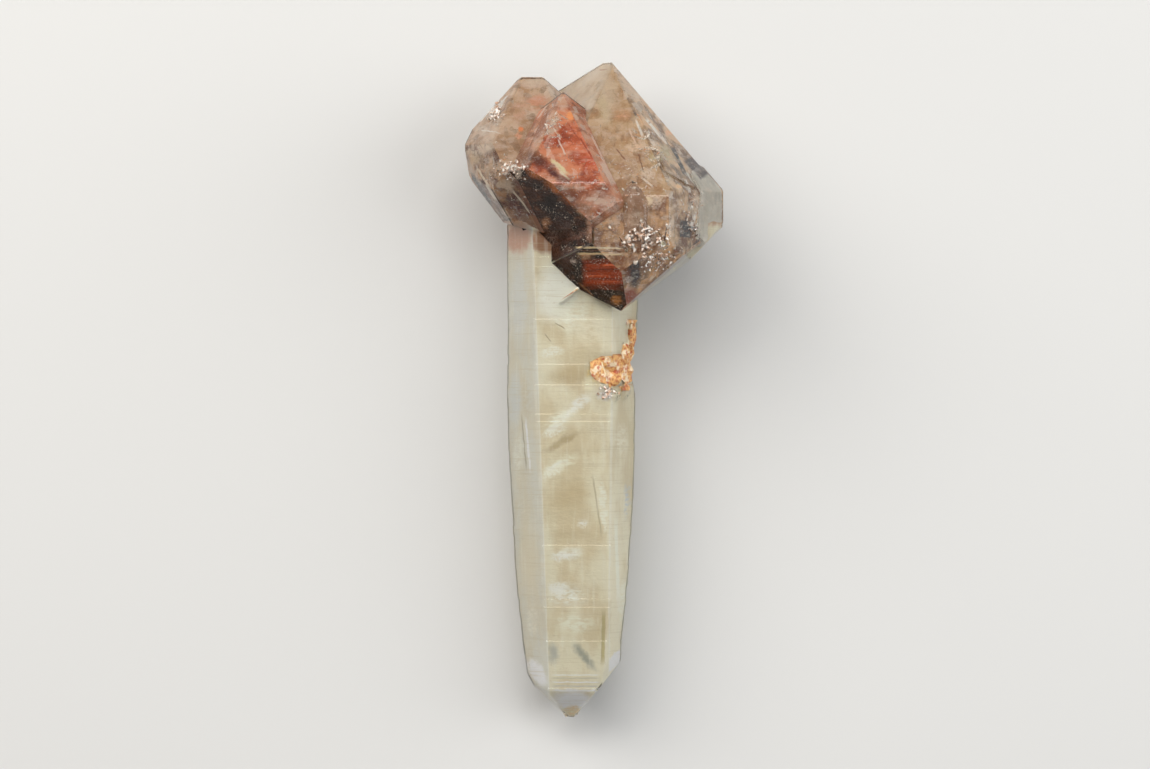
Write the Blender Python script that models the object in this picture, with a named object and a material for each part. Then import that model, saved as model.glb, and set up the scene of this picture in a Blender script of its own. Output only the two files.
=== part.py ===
"""Scepter quartz: a six sided quartz stem whose upper end is overgrown by a parallel group of larger crystals.

The crystal is drawn standing in its own frame: x to the right, y up along the c axis of the quartz, z towards
the viewer, in millimetres, with the stem's axis at x = z = 0 and its tip near y = 0. It is then laid on its back,
on a flat at the rear of the head and a worn flat on the rear of the stem.
"""

import math
import random

import bmesh
import bpy
from mathutils import Matrix, Vector, noise

MM = 0.001

# Angles of quartz: the end faces slope 38.2 degrees to the c axis, the sides stand 60 degrees apart
RHOMB = 38.2
SIDE = 60.0

# Width of the narrow bevel on the head's edges, and the least angle of an edge that gets one
BEVEL = 0.10
BEVEL_FROM_ANGLE = 12.0

# Seed of all that is drawn at random
SEED = 7

# Block that each crystal is cut from, and the distance under which its corners are one
BLOCK_SIZE = 120.0
ON_PLANE = 0.0001
SAME_POINT = 0.02
SAME_BEVEL_POINT = 0.004
FLAT_ANGLE = 0.5

# Stem: outline of the front view, as (height, left corner, left edge, right edge, right corner, front, back)
STEM_STATIONS = [
    (74.0, -8.9, -5.3, 5.7, 9.2, 6.8, 6.6),
    (62.8, -8.9, -5.2, 5.8, 9.3, 6.8, 6.6),
    (54.0, -8.8, -5.1, 5.8, 9.1, 7.0, 6.8),
    (43.6, -8.9, -5.0, 5.5, 8.8, 7.2, 6.9),
    (36.7, -8.7, -4.6, 5.4, 8.7, 7.2, 6.8),
    (29.8, -8.3, -4.3, 5.4, 8.5, 7.1, 6.6),
    (22.0, -7.9, -4.0, 5.4, 8.0, 6.8, 6.3),
    (16.1, -7.4, -3.9, 5.3, 7.5, 6.4, 5.9),
    (10.6, -6.8, -3.7, 4.9, 6.9, 5.6, 5.3),
    (7.8, -6.4, -3.6, 4.7, 7.0, 5.2, 4.9),
    (3.7, -6.1, -3.2, 4.5, 6.9, 4.7, 4.4),
    (-2.0, -5.6, -2.8, 4.3, 6.7, 4.2, 3.9),
]

# Growth steps across the stem: their spacing, depth and slant, and the finer spacing near the point
STRIATION_STEP = (0.9, 1.9)
STRIATION_DEPTH = 0.10
STRIATION_RISE = 0.12
FINE_STRIATIONS_BELOW = 6.2
FINE_STRIATION_STEP = 0.45

# Rest: a worn flat on the stem's rear and a flat on the head's rear, both in one plane
REST_HEIGHT_ON_STEM = 18.0
REST_HEIGHT_AT_HEAD = 68.0
WORN_AWAY = 0.14
HEAD_BACK = 9.6


def at(x, y, z):
    return Vector((x, y, z))


def face_normal(azimuth, slope):
    """Outward normal of a face: azimuth from the viewer to the right, slope up (crown) or down (root)."""
    turn = math.radians(azimuth)
    rise = math.radians(slope)
    level = math.cos(rise)
    return Vector((math.sin(turn) * level, math.sin(rise), math.cos(turn) * level))


def stem_section(height):
    """The stem's six values at a height, between the two stations around it."""
    for upper, lower in zip(STEM_STATIONS, STEM_STATIONS[1:]):
        if height >= lower[0]:
            part = (height - lower[0]) / (upper[0] - lower[0])
            return [low + (high - low) * part for high, low in zip(upper[1:], lower[1:])]
    return list(STEM_STATIONS[-1][1:])


def rest_pitch():
    """Angle that the stem's axis makes with the surface when the crystal lies on its back."""
    stem_back = stem_section(REST_HEIGHT_ON_STEM)[5] - WORN_AWAY
    return math.degrees(math.atan2(HEAD_BACK - stem_back, REST_HEIGHT_AT_HEAD - REST_HEIGHT_ON_STEM))


REST_FACE = (180, -rest_pitch(), at(0, REST_HEIGHT_AT_HEAD, -HEAD_BACK))

# Head, main crystal on the right, ended at both ends
MAIN_TOP = at(5.2, 90.0, 1.5)
MAIN_FRONT = 16.3
MAIN_CORNER_LEVEL = 2.5
MAIN_CRYSTAL = dict(inside=at(5.5, 72.0, 2.0), faces=[
    (0, RHOMB, MAIN_TOP),
    (SIDE, RHOMB, at(5.4, 90.0, 1.5)),
    (-SIDE, RHOMB, at(5.3, 89.6, 1.5)),
    (161, RHOMB, at(4.5, 90.9, -0.2)),
    (2 * SIDE, 33.9, at(5.9, 89.8, 1.4)),
    (-2 * SIDE, RHOMB, at(-3.0, 86.0, -8.0)),
    (-80, 75.0, at(4.3, 90.45, -0.3)),
    (0, 0, at(13.3, 71.2, MAIN_FRONT)),
    (SIDE, 0, at(13.3, 71.2, MAIN_FRONT)),
    (2 * SIDE, 0, at(20.2, 72.3, MAIN_CORNER_LEVEL)),
    (-SIDE, 0, at(-2.6, 64.0, 7.0)),
    (-2 * SIDE, 0, at(-2.6, 64.0, -7.0)),
    (-50, -RHOMB, at(0.7, 59.2, 7.0)),
    (32, -RHOMB, at(13.3, 65.2, MAIN_FRONT)),
    (85, -48.9, at(10.7, 59.3, 12.2)),
    (198, -57.7, at(3.85, 57.2, 8.2)),
    (180, -RHOMB, at(3.8, 66.0, -8.6)),
    REST_FACE,
])

# Head, the block at the right corner, a step wider than the main crystal below it
CORNER_CRYSTAL = dict(inside=at(19.2, 70.0, 3.0), faces=[
    (SIDE, RHOMB, at(17.0, 75.1, 5.7)),
    (2 * SIDE, 33.9, at(18.75, 74.8, 3.0)),
    (SIDE, 0, at(13.5, 71.2, MAIN_FRONT)),
    (2 * SIDE, 0, at(20.2, 72.3, MAIN_CORNER_LEVEL)),
    (-35, 12.0, at(17.3, 70.0, 9.4)),
    (92, -42.0, at(20.6, 67.7, MAIN_CORNER_LEVEL)),
    (5, -62.0, at(16.8, 63.6, 6.0)),
    (180, 0, at(18.0, 70.0, -3.0)),
    (-90, 0, at(16.2, 70.0, 0.0)),
    (30, 70.0, at(18.5, 75.2, 4.0)),
])

# Head, the growth plate on the main crystal's right end face
RIGHT_PLATE = dict(inside=at(11.5, 80.0, 4.0), faces=[
    (SIDE, RHOMB, at(5.75, 90.0, 1.5)),
    (145, -5.7, at(13.0, 78.5, 6.4)),
    (0, RHOMB, at(5.2, 89.6, 1.5)),
    (70, 60.0, at(9.0, 85.4, 2.0)),
    (180, 0, at(10.0, 80.0, -1.0)),
    (0, -60.0, at(15.0, 72.4, 10.0)),
    (-90, 0, at(7.0, 80.0, 2.0)),
])

# Head, the wide rear part of the main crystal that wraps around the stem
REAR_CRYSTAL = dict(inside=at(3.0, 72.0, -2.0), faces=[
    (0, RHOMB, at(3.5, 84.5, 0.0)),
    (SIDE, RHOMB, at(3.5, 85.0, 0.0)),
    (2 * SIDE, RHOMB, at(3.5, 85.5, 0.0)),
    (180, RHOMB, at(3.5, 84.5, -1.5)),
    (-2 * SIDE, RHOMB, at(1.5, 85.5, 0.0)),
    (-SIDE, RHOMB, at(1.5, 84.5, 0.0)),
    (0, 0, at(0, 70, 5.5)),
    (SIDE, 0, at(14.5, 70, 2.0)),
    (2 * SIDE, 0, at(14.5, 70, -1.0)),
    (-SIDE, 0, at(-10.8, 70, 0.0)),
    (-2 * SIDE, 0, at(-10.8, 70, 0.0)),
    (90, -RHOMB, at(11.4, 67.5, 0.0)),
    (150, -RHOMB, at(9.0, 63.5, -5.0)),
    (210, -RHOMB, at(-4.5, 65.0, -6.8)),
    (-90, -RHOMB, at(-10.0, 68.8, 0.0)),
    (-113, -77.7, at(-7.3, 67.6, 3.0)),
    (0, -RHOMB, at(0, 64.0, 5.5)),
    REST_FACE,
])

# Head, the red crystal that stands proud on the front
FRONT_TOP = at(-1.3, 85.4, 7.4)
FRONT_CRYSTAL = dict(inside=at(-1.0, 76.0, 8.0), faces=[
    (0, RHOMB, FRONT_TOP),
    (SIDE, RHOMB, at(-1.0, 85.4, 7.4)),
    (-SIDE, RHOMB, FRONT_TOP),
    (180, RHOMB, at(-1.3, 85.7, 7.1)),
    (0, 0, at(3.8, 72.8, 17.2)),
    (SIDE, 0, at(7.3, 72.4, 16.3)),
    (-SIDE, 0, at(-9.5, 75.4, 10.3)),
    (-2 * SIDE, 0, at(-9.5, 75.4, 9.0)),
    (180, 0, at(0, 74.0, 0.0)),
    (-52, -RHOMB, at(-8.2, 74.3, 11.9)),
    (32, -RHOMB, at(6.9, 70.5, 17.2)),
    (180, -RHOMB, at(-1.6, 67.0, 0.0)),
])

# Head, the left crystal with the chisel top
LEFT_TOP = at(-6.9, 88.0, 1.5)
LEFT_CRYSTAL = dict(inside=at(-7.0, 78.0, 2.0), faces=[
    (0, RHOMB, LEFT_TOP),
    (-SIDE, RHOMB, LEFT_TOP),
    (-2 * SIDE, RHOMB, at(-7.3, 87.8, 1.0)),
    (180, RHOMB, at(-6.9, 88.0, 1.4)),
    (SIDE, RHOMB, at(-3.9, 88.0, 1.5)),
    (161, RHOMB, at(-3.9, 87.9, 1.4)),
    (0, 0, at(-7.0, 75.4, 11.9)),
    (-SIDE, 0, at(-14.5, 78.6, 3.0)),
    (-2 * SIDE, 0, at(-14.5, 78.6, 2.4)),
    (180, 0, at(-7.0, 75.4, -7.6)),
    (SIDE, 0, at(4.0, 75.4, 5.0)),
    (2 * SIDE, 0, at(4.0, 75.4, 2.0)),
    (-75, -13.0, at(-14.5, 77.6, 3.0)),
    (-75, -36.0, at(-13.3, 73.3, 3.0)),
    (-110, -36.0, at(-13.3, 73.3, 2.0)),
    (-27, -RHOMB, at(-5.5, 66.8, 7.0)),
    (-113, -77.7, at(-7.3, 67.5, 3.0)),
    (195, -RHOMB, at(-7.0, 67.5, -7.0)),
])

# Head, the small dome on the front of the main crystal
DOME_TOP = at(8.3, 73.3, 15.6)
DOME_CRYSTAL = dict(inside=at(8.3, 70.5, 15.0), faces=[
    (0, RHOMB, DOME_TOP),
    (SIDE, RHOMB, DOME_TOP),
    (-SIDE, RHOMB, DOME_TOP),
    (180, RHOMB, DOME_TOP),
    (0, -6.0, at(8.3, 71.6, 17.2)),
    (SIDE, -3.0, at(10.4, 70.5, 16.3)),
    (-SIDE, -3.0, at(6.8, 70.5, 16.3)),
    (180, 0, at(8.3, 70.5, 8.0)),
    (0, -85.0, at(8.3, 64.2, 16.0)),
])

# Ends of the stem's point: three end faces that show, two steep side facets, and the rear ones
STEM_POINT_FACES = [
    (0, -44.0, at(0, 3.7, 4.5)),
    (-71, -45.0, at(-3.3, 3.7, 4.5)),
    (90, -39.7, at(5.0, 5.6, 1.0)),
    (-66, -11.0, at(-6.4, 8.0, 0.2)),
    (66, -14.0, at(6.95, 8.8, 1.0)),
    (180, -44.0, at(0, 3.9, -4.3)),
    (-125, -42.0, at(-0.3, 0.2, 0.6)),
    (125, -42.0, at(0.3, 0.2, 0.6)),
    (0, -90, at(0, 0, 0)),
]

# Broken edge of the stem, on its right: scoops as (centre, radii)
BREAK_SCOOPS = [
    (at(11.4, 48.4, 2.2), (3.9, 6.6, 6.4)),
    (at(7.6, 46.9, 9.1), (4.7, 4.3, 3.4)),
    (at(9.2, 54.6, 6.0), (1.6, 3.0, 3.6)),
]
SCOOP_ROUGHNESS = 0.5
CRUST_ROUGHNESS = 0.45
LUMP_GRAIN = 1.7

# Iron crust and broken grains in the scoops, and the chipped end of the stem's point
CRUST_LUMPS = [
    (at(3.3, 47.6, 6.6), (1.0, 2.1, 0.8)),
    (at(4.8, 49.2, 6.0), (1.3, 1.2, 1.0)),
    (at(5.6, 46.4, 5.5), (1.5, 1.3, 1.0)),
    (at(6.9, 49.9, 4.2), (1.1, 1.5, 1.0)),
    (at(4.9, 44.2, 6.5), (1.6, 1.0, 0.8)),
    (at(7.0, 44.9, 3.9), (1.0, 1.3, 1.0)),
    (at(7.2, 47.6, 2.2), (1.1, 1.5, 1.4)),
    (at(8.0, 52.8, 2.6), (0.8, 1.9, 1.2)),
    (at(7.2, 46.6, -1.2), (1.2, 1.3, 1.6)),
    (at(7.6, 50.6, -0.4), (1.0, 1.8, 1.4)),
    (at(0.0, 0.75, 0.7), (1.05, 0.75, 0.95)),
]

# Small blade on the stem under the head
BLADE_FOOT = at(-1.45, 57.0, 7.0)
BLADE_TOP = at(0.9, 58.8, 7.1)
BLADE_WIDTH = 0.42
BLADE_HALF_THICKNESS = 0.3

# Small crystal points: how far they lean, the width of their end and their length, against their radius
POINT_LEAN = 0.45
POINT_RISE = Vector((0, 0.5, 0))
POINT_END = 0.12
POINT_LENGTH = 2.2
SEARCH_REACH = 4.0

# Patches of small crystal points: middle, spread along the face, face, count, radius range
DRUSE_PATCHES = [
    (at(10.0, 65.9, 16.3), (2.7, 2.1), (10, 0), 13, (0.35, 0.75)),
    (at(12.0, 62.6, 14.2), (1.7, 1.4), (32, -RHOMB), 7, (0.3, 0.6)),
    (at(-10.4, 82.6, 3.2), (0.7, 1.2), (-SIDE, RHOMB), 8, (0.25, 0.5)),
    (at(-9.6, 74.7, 11.9), (1.5, 0.9), (-10, 0), 6, (0.3, 0.6)),
    (at(16.6, 67.0, 10.2), (0.8, 1.6), (SIDE, 0), 6, (0.25, 0.55)),
]


def remove_old_objects():
    for old in list(bpy.data.objects):
        bpy.data.objects.remove(old, do_unlink=True)


def quartz_material():
    material = bpy.data.materials.new("quartz")
    material.use_nodes = True
    shader = material.node_tree.nodes["Principled BSDF"]
    shader.inputs["Base Color"].default_value = (0.78, 0.70, 0.58, 1.0)
    shader.inputs["Roughness"].default_value = 0.12
    shader.inputs["Metallic"].default_value = 0.0
    return material


def slice_by_faces(mesh, faces):
    """Cut a closed convex mesh with each face's plane and close every cut."""
    for azimuth, slope, point in faces:
        everything = mesh.verts[:] + mesh.edges[:] + mesh.faces[:]
        cut = bmesh.ops.bisect_plane(mesh, geom=everything, dist=ON_PLANE, plane_co=point,
                                     plane_no=face_normal(azimuth, slope), clear_outer=True)
        rim = [item for item in cut["geom_cut"] if isinstance(item, bmesh.types.BMEdge)]
        if len(rim) > 2:
            bmesh.ops.contextual_create(mesh, geom=rim)
    bmesh.ops.remove_doubles(mesh, verts=mesh.verts, dist=SAME_POINT)
    bmesh.ops.dissolve_limit(mesh, angle_limit=math.radians(FLAT_ANGLE), verts=mesh.verts, edges=mesh.edges)
    bmesh.ops.recalc_face_normals(mesh, faces=mesh.faces)


def as_object(name, mesh):
    """Turn a mesh in millimetres into an object in metres."""
    bmesh.ops.scale(mesh, vec=(MM, MM, MM), verts=mesh.verts)
    data = bpy.data.meshes.new(name)
    mesh.to_mesh(data)
    mesh.free()
    made = bpy.data.objects.new(name, data)
    bpy.context.collection.objects.link(made)
    return made


def soften(mesh, width):
    """Round the sharp edges by a narrow bevel, as on real crystals."""
    least = math.radians(BEVEL_FROM_ANGLE)
    sharp = [edge for edge in mesh.edges if edge.is_manifold and edge.calc_face_angle() > least]
    bmesh.ops.bevel(mesh, geom=sharp, offset=width, segments=1, profile=0.5, affect="EDGES", clamp_overlap=True)
    bmesh.ops.remove_doubles(mesh, verts=mesh.verts, dist=SAME_BEVEL_POINT)


def crystal(name, inside, faces):
    """One crystal of the head, cut from a block around a point inside it."""
    mesh = bmesh.new()
    bmesh.ops.create_cube(mesh, size=BLOCK_SIZE, matrix=Matrix.Translation(inside))
    slice_by_faces(mesh, faces)
    soften(mesh, BEVEL)
    return as_object(name, mesh)


def stem_heights(rng):
    """Heights of the stem's rings, each with a flag that says whether a growth step lies there."""
    heights = []
    height = STEM_STATIONS[0][0]
    while height > STEM_STATIONS[-1][0]:
        heights.append((height, 0))
        heights.append((height - STRIATION_RISE, 1))
        gap = rng.uniform(*STRIATION_STEP)
        height -= gap if height > FINE_STRIATIONS_BELOW else FINE_STRIATION_STEP
    heights.append((STEM_STATIONS[-1][0], 0))
    return heights


def stem_ring(height, steps):
    """Corners of the six sided section, each side moved by its own growth step."""
    left, left_edge, right_edge, right, front, back = stem_section(height)
    corner_left = (left, front - (left_edge - left) * math.tan(math.radians(SIDE)))
    corner_right = (right, front - (right - right_edge) * math.tan(math.radians(SIDE)))
    lines = []
    for azimuth, (x, z) in [(0, (0, front)), (60, (right_edge, front)), (120, corner_right),
                            (180, (0, -back)), (240, corner_left), (300, (left_edge, front))]:
        turn = math.radians(azimuth)
        normal = (math.sin(turn), math.cos(turn))
        lines.append((normal, normal[0] * x + normal[1] * z - steps[azimuth // 60]))
    corners = []
    for index in range(6):
        (a, b), reach = lines[index]
        (c, d), next_reach = lines[(index + 1) % 6]
        scale = a * d - b * c
        corners.append(((reach * d - next_reach * b) / scale, (a * next_reach - c * reach) / scale))
    return corners


def make_stem(rng):
    mesh = bmesh.new()
    rings = []
    steps = [0.0] * 6
    for height, is_step in stem_heights(rng):
        if is_step:
            steps = [STRIATION_DEPTH * rng.random() ** 2 for _ in range(6)]
        rings.append([mesh.verts.new((x, height, z)) for x, z in stem_ring(height, steps)])
    for upper, lower in zip(rings, rings[1:]):
        for index in range(6):
            following = (index + 1) % 6
            mesh.faces.new((upper[index], upper[following], lower[following], lower[index]))
    mesh.faces.new(rings[0])
    mesh.faces.new(list(reversed(rings[-1])))
    bmesh.ops.recalc_face_normals(mesh, faces=mesh.faces)
    slice_by_faces(mesh, STEM_POINT_FACES + [REST_FACE])
    return as_object("stem", mesh)


def combine(target, tool, operation):
    """Join a solid to the target, or cut it away, and drop the solid."""
    boolean = target.modifiers.new(tool.name, "BOOLEAN")
    boolean.operation = operation
    boolean.solver = "EXACT"
    boolean.object = tool
    bpy.context.view_layer.update()
    graph = bpy.context.evaluated_depsgraph_get()
    result = bpy.data.meshes.new_from_object(target.evaluated_get(graph))
    target.modifiers.clear()
    target.data = result
    bpy.data.objects.remove(tool, do_unlink=True)


def lump(name, centre, radii, roughness):
    """A rounded body whose surface is pushed in and out by noise, as broken quartz or crust is."""
    mesh = bmesh.new()
    bmesh.ops.create_icosphere(mesh, subdivisions=2, radius=1.0)
    for vertex in mesh.verts:
        swell = 1.0 + roughness * noise.noise(vertex.co * LUMP_GRAIN + centre)
        vertex.co = centre + Vector([axis * radius * swell for axis, radius in zip(vertex.co, radii)])
    return as_object(name, mesh)


def blade(name):
    """A thin flat crystal lying on the stem, widest at its foot."""
    along = (BLADE_TOP - BLADE_FOOT).normalized()
    across = along.cross(Vector((0, 0, 1))).normalized() * BLADE_WIDTH / 2
    depth = Vector((0, 0, BLADE_HALF_THICKNESS))
    mesh = bmesh.new()
    outline = [BLADE_FOOT - across, BLADE_FOOT - along * BLADE_WIDTH, BLADE_FOOT + across,
               BLADE_TOP + across * 0.5, BLADE_TOP - across * 0.5]
    low = [mesh.verts.new(point - depth) for point in outline]
    high = [mesh.verts.new(point + depth) for point in outline]
    mesh.faces.new(low)
    mesh.faces.new(list(reversed(high)))
    for index in range(len(outline)):
        following = (index + 1) % len(outline)
        mesh.faces.new((low[index], high[index], high[following], low[following]))
    bmesh.ops.recalc_face_normals(mesh, faces=mesh.faces)
    return as_object(name, mesh)


def surface_point(target, point, outward):
    """Where the target's surface lies under a point, looking against the outward direction."""
    bpy.context.view_layer.update()
    start = (point + outward * SEARCH_REACH) * MM
    hit, place, _, _ = target.ray_cast(start, -outward, distance=2 * SEARCH_REACH * MM)
    return place / MM if hit else None


def crystal_point(name, rng, foot, outward, size):
    """One six sided point of a patch, half sunk in its face and standing nearly upright on it."""
    tilt = Vector([rng.uniform(-POINT_LEAN, POINT_LEAN) for _ in range(3)])
    direction = (outward + POINT_RISE + tilt).normalized()
    turn = direction.to_track_quat("Z", "Y").to_matrix().to_4x4()
    spin = Matrix.Rotation(rng.uniform(0, math.tau), 4, "Z")
    mesh = bmesh.new()
    bmesh.ops.create_cone(mesh, cap_ends=True, segments=6, radius1=size, radius2=size * POINT_END,
                          depth=size * POINT_LENGTH, matrix=Matrix.Translation(foot) @ turn @ spin)
    return as_object(name, mesh)


def grow_druse(target, rng, middle, spread, face, count, radius):
    """A patch of small points on one face of the head."""
    outward = face_normal(*face)
    side = Vector((0, 1, 0)).cross(outward).normalized()
    upward = outward.cross(side)
    for index in range(count):
        shift = side * rng.uniform(-spread[0], spread[0]) + upward * rng.uniform(-spread[1], spread[1])
        foot = surface_point(target, middle + shift, outward)
        size = rng.uniform(*radius)
        if foot:
            combine(target, crystal_point(f"point_{index}", rng, foot, outward, size), "UNION")


def lay_on_back(target):
    """Tip the crystal back on its rest and put the origin under the middle of its box."""
    target.data.transform(Matrix.Rotation(math.radians(rest_pitch()), 4, "X"))
    corners = [vertex.co for vertex in target.data.vertices]
    low = Vector([min(corner[axis] for corner in corners) for axis in range(3)])
    high = Vector([max(corner[axis] for corner in corners) for axis in range(3)])
    target.data.transform(Matrix.Translation((-(low.x + high.x) / 2, -(low.y + high.y) / 2, -low.z)))


def main():
    remove_old_objects()
    rng = random.Random(SEED)
    quartz = make_stem(rng)
    quartz.name = "scepter_quartz"
    groups = [("rear_crystal", REAR_CRYSTAL), ("main_crystal", MAIN_CRYSTAL), ("left_crystal", LEFT_CRYSTAL),
              ("front_crystal", FRONT_CRYSTAL), ("corner_crystal", CORNER_CRYSTAL),
              ("right_plate", RIGHT_PLATE), ("dome_crystal", DOME_CRYSTAL)]
    for name, shape in groups:
        combine(quartz, crystal(name, **shape), "UNION")
    for index, (centre, radii) in enumerate(BREAK_SCOOPS):
        combine(quartz, lump(f"scoop_{index}", centre, radii, SCOOP_ROUGHNESS), "DIFFERENCE")
    for index, (centre, radii) in enumerate(CRUST_LUMPS):
        combine(quartz, lump(f"crust_{index}", centre, radii, CRUST_ROUGHNESS), "UNION")
    combine(quartz, blade("blade"), "UNION")
    for patch in DRUSE_PATCHES:
        grow_druse(quartz, rng, *patch)
    lay_on_back(quartz)
    quartz.data.materials.clear()
    quartz.data.materials.append(quartz_material())


main()
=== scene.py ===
"""Looks of the scepter quartz: a clear skin over clouded and hematite stained quartz, on a pale floor.

Positions are in the crystal's own frame, in millimetres: x to the right, y up along the c axis, z towards the
viewer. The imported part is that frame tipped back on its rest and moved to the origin.
"""

import math
import random
from collections import namedtuple

import bmesh
import bpy
from mathutils import Matrix, Vector, noise
from mathutils.bvhtree import BVHTree


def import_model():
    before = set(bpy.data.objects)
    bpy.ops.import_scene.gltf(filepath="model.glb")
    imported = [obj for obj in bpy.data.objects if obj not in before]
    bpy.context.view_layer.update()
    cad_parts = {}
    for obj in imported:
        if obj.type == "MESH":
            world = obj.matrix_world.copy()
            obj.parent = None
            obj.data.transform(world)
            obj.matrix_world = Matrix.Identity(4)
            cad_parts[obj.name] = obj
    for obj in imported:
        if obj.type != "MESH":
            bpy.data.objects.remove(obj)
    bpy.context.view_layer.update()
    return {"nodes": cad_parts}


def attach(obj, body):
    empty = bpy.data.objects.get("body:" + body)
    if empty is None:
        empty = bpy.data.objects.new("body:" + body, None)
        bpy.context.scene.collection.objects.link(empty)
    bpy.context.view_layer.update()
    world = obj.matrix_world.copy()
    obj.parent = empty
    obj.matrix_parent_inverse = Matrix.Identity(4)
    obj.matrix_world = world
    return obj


MM = 0.001
SEED = 11

# The crystal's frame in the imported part's frame
REST_PITCH = math.radians(4.245)
REST_SHIFT = Vector((-3.02, -44.85, 4.555))
TO_WORLD = Matrix.Scale(MM, 4) @ Matrix.Translation(REST_SHIFT) @ Matrix.Rotation(REST_PITCH, 4, "X")
TO_CRYSTAL = TO_WORLD.inverted()

# The photo's scale in millimetres a pixel, and where the crystal's axis and tip lie in it, in pixels
PHOTO_MM = 0.1374
PHOTO_AXIS = 572.0
PHOTO_TIP = 717.0

# Camera: the photo's view, straight at the front faces
CAMERA_LENS = 180.0
CAMERA_SENSOR = 36.0
CAMERA_CLIP = 0.01
CAMERA_AIM = Vector((0.41, 45.7, 2.0))
CAMERA_DISTANCE = 790.0

# Angles of quartz: the end faces slope 38.2 degrees to the c axis, the sides stand 60 degrees apart
RHOMB = 38.2
SIDE = 60.0
QUARTZ_IOR = 1.544

# Clear skin: its colour, and how much light it takes away on the way through
SKIN_COLOUR = (0.99, 0.98, 0.96, 1.0)
ABSORBED_COLOUR = (0.95, 0.88, 0.76, 1.0)
ABSORBED_DENSITY = 8.0

# Share of the light from the clouded quartz that passes the skin at its first try, and the skin's own sheen
SKIN_PASS = 0.42
SKIN_SHEEN = 0.012
DARKEST = 0.002
LIGHTEST = 0.96

# Size of the block that a crystal is cut from
BLOCK_SIZE = 120.0
ON_PLANE = 0.0001

# How deep the clouded crystals lie under their faces. Under the stained faces and the rear ones it is little,
# which keeps the dark line along the edges narrow
CLOUD_DEPTH = 0.45
THIN_SKIN_DEPTH = 0.12
THIN_SKIN_TONES = ("smoky", "root", "back")

# Clouded body of the stem: the grain of its surface, its depth, how much that varies and over what lengths
BODY_VOXEL = 0.36
BODY_DEPTH = 0.24
BODY_WAVINESS = 0.3
BODY_DRIFT = Vector((3.0, 6.0, 9.0))
LONG_WAVE = 0.45
SHORT_WAVE = 1.3
LEAST_DEPTH_SHARE = 0.5

# Where the stem's own surface ends and the head's begins, and how much deeper the body lies there
HEAD_ABOVE = 68.0
HEAD_TIP_ABOVE = 55.0
STEM_FRONT = 7.35
HEAD_EXTRA_DEPTH = 4.55

# Spots: how far they reach into the depth, and the push on the outlines of straight-edged ones
SPOT_REACH = 1000.0
CRISP_WOBBLE = 0.3
NOISE_MIDDLE = (0.5, 0.5, 0.5)

# Stretch and turn of the wisps, of the shards and of the stem's wide clouds
STREAK_STRETCH = (0.45, 1.1, 0.5)
STREAK_TURN = -30
SHARD_STRETCH = (0.9, 0.35, 0.7)
SHARD_TURN = -35
WIDE_STRETCH = (0.8, 0.3, 0.8)

# Values of a noise between which a marking comes in, from none to full
MIDDLE = (0.4, 0.6)
GATHER_BAND = (0.42, 0.6)
TEXTURE_BAND = (0.42, 0.56)
WISP_BAND = (0.5, 0.66)
SPARK_BAND = (0.62, 0.68)
DARK_SHARD_BAND = (0.28, 0.1)
PALE_SHARD_BAND = (0.74, 0.95)
GLOSS_BAND = (0.3, 0.7)
CRACK_WIDTH = 0.045

# Brightness of the darkest shards against a tone's second colour
DARK_SHARD = 0.45

# Display colours of the head's markings. SPARK and STAIN_GLINT are painted sparkle highlights
PALE_SHARD = (232, 208, 184)
WISP = (222, 194, 166)
CRACK = (84, 48, 30)
SPARK = (246, 238, 228)
STAIN_BROWN = (54, 28, 15)
STAIN_BLACK = (20, 9, 5)
STAIN_WISP = (104, 68, 46)
STAIN_BAR = (24, 11, 6)
STAIN_GLINT = (216, 196, 178)
DRUSE_WHITE = (236, 228, 218)
DRUSE_TAN = (190, 156, 130)
FLAKE_SILVER = (250, 238, 222)
FLAKE_WARM = (244, 186, 140)

# Display colours of the stem: brightness, two base colours for each long face, and its markings. EDGE_LIGHT
# is a painted highlight along the long edges
STEM_GAIN = 1.2
FRONT_TONES = ((210, 200, 164), (186, 169, 131))
LEFT_TONES = ((190, 188, 170), (190, 181, 154))
RIGHT_TONES = ((216, 205, 168), (186, 169, 131))
EDGE_LIGHT = (240, 234, 212)
STREAK = (232, 224, 198)
GROWTH_LINE = (166, 152, 118)
STEM_DOT = (150, 130, 100)
HEAD_BROWN = (146, 106, 80)
CRUST_YELLOW = (226, 176, 110)
CRUST_ORANGE = (170, 88, 48)
CRUST_CREAM = (238, 216, 182)
CRUST_RED = (186, 82, 48)

# The stem's two long front edges: x at the height EDGE_TOP, and how much x changes per mm further down
LEFT_EDGE = (-5.2, 0.0349)
RIGHT_EDGE = (5.6, -0.012)
EDGE_TOP = 62.8
EDGE_BLEND = 0.08
EDGE_LIGHT_WIDTH = 0.14

# Small crystals and flakes: the height from which their places are looked for, how much the skin must face up
# there, how far they lean, and their proportions
SEARCH_HEIGHT = 60.0
DRUSE_LEAST_RISE = 0.1
DRUSE_LEAN = 0.7
DRUSE_TIP = 0.15
DRUSE_HEIGHT = 2.0
FLAKE_LEAST_RISE = 0.2
FLAKE_DEPTH = 0.24
FLAKE_LEAN = 0.35
FLAKE_RISE = 0.1
FLAKE_NARROW = (0.06, 0.3)
FLAKE_REACH = (0.45, 1.0)
FLAKE_CORNERS = 9

# Faces of the head that are stained to the surface: azimuth, slope, and the corners of where they lie
STAINED_FACES = [
    (-52, -RHOMB, (-12, 60), (6, 78)),
    (-50, -RHOMB, (-4, 52), (12, 66)),
    (-SIDE, 0, (-4, 56), (6, 72)),
]
FACE_MATCH = 0.9996
CRUST_INDEX = 1
STAINED_INDEX = 2

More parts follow.
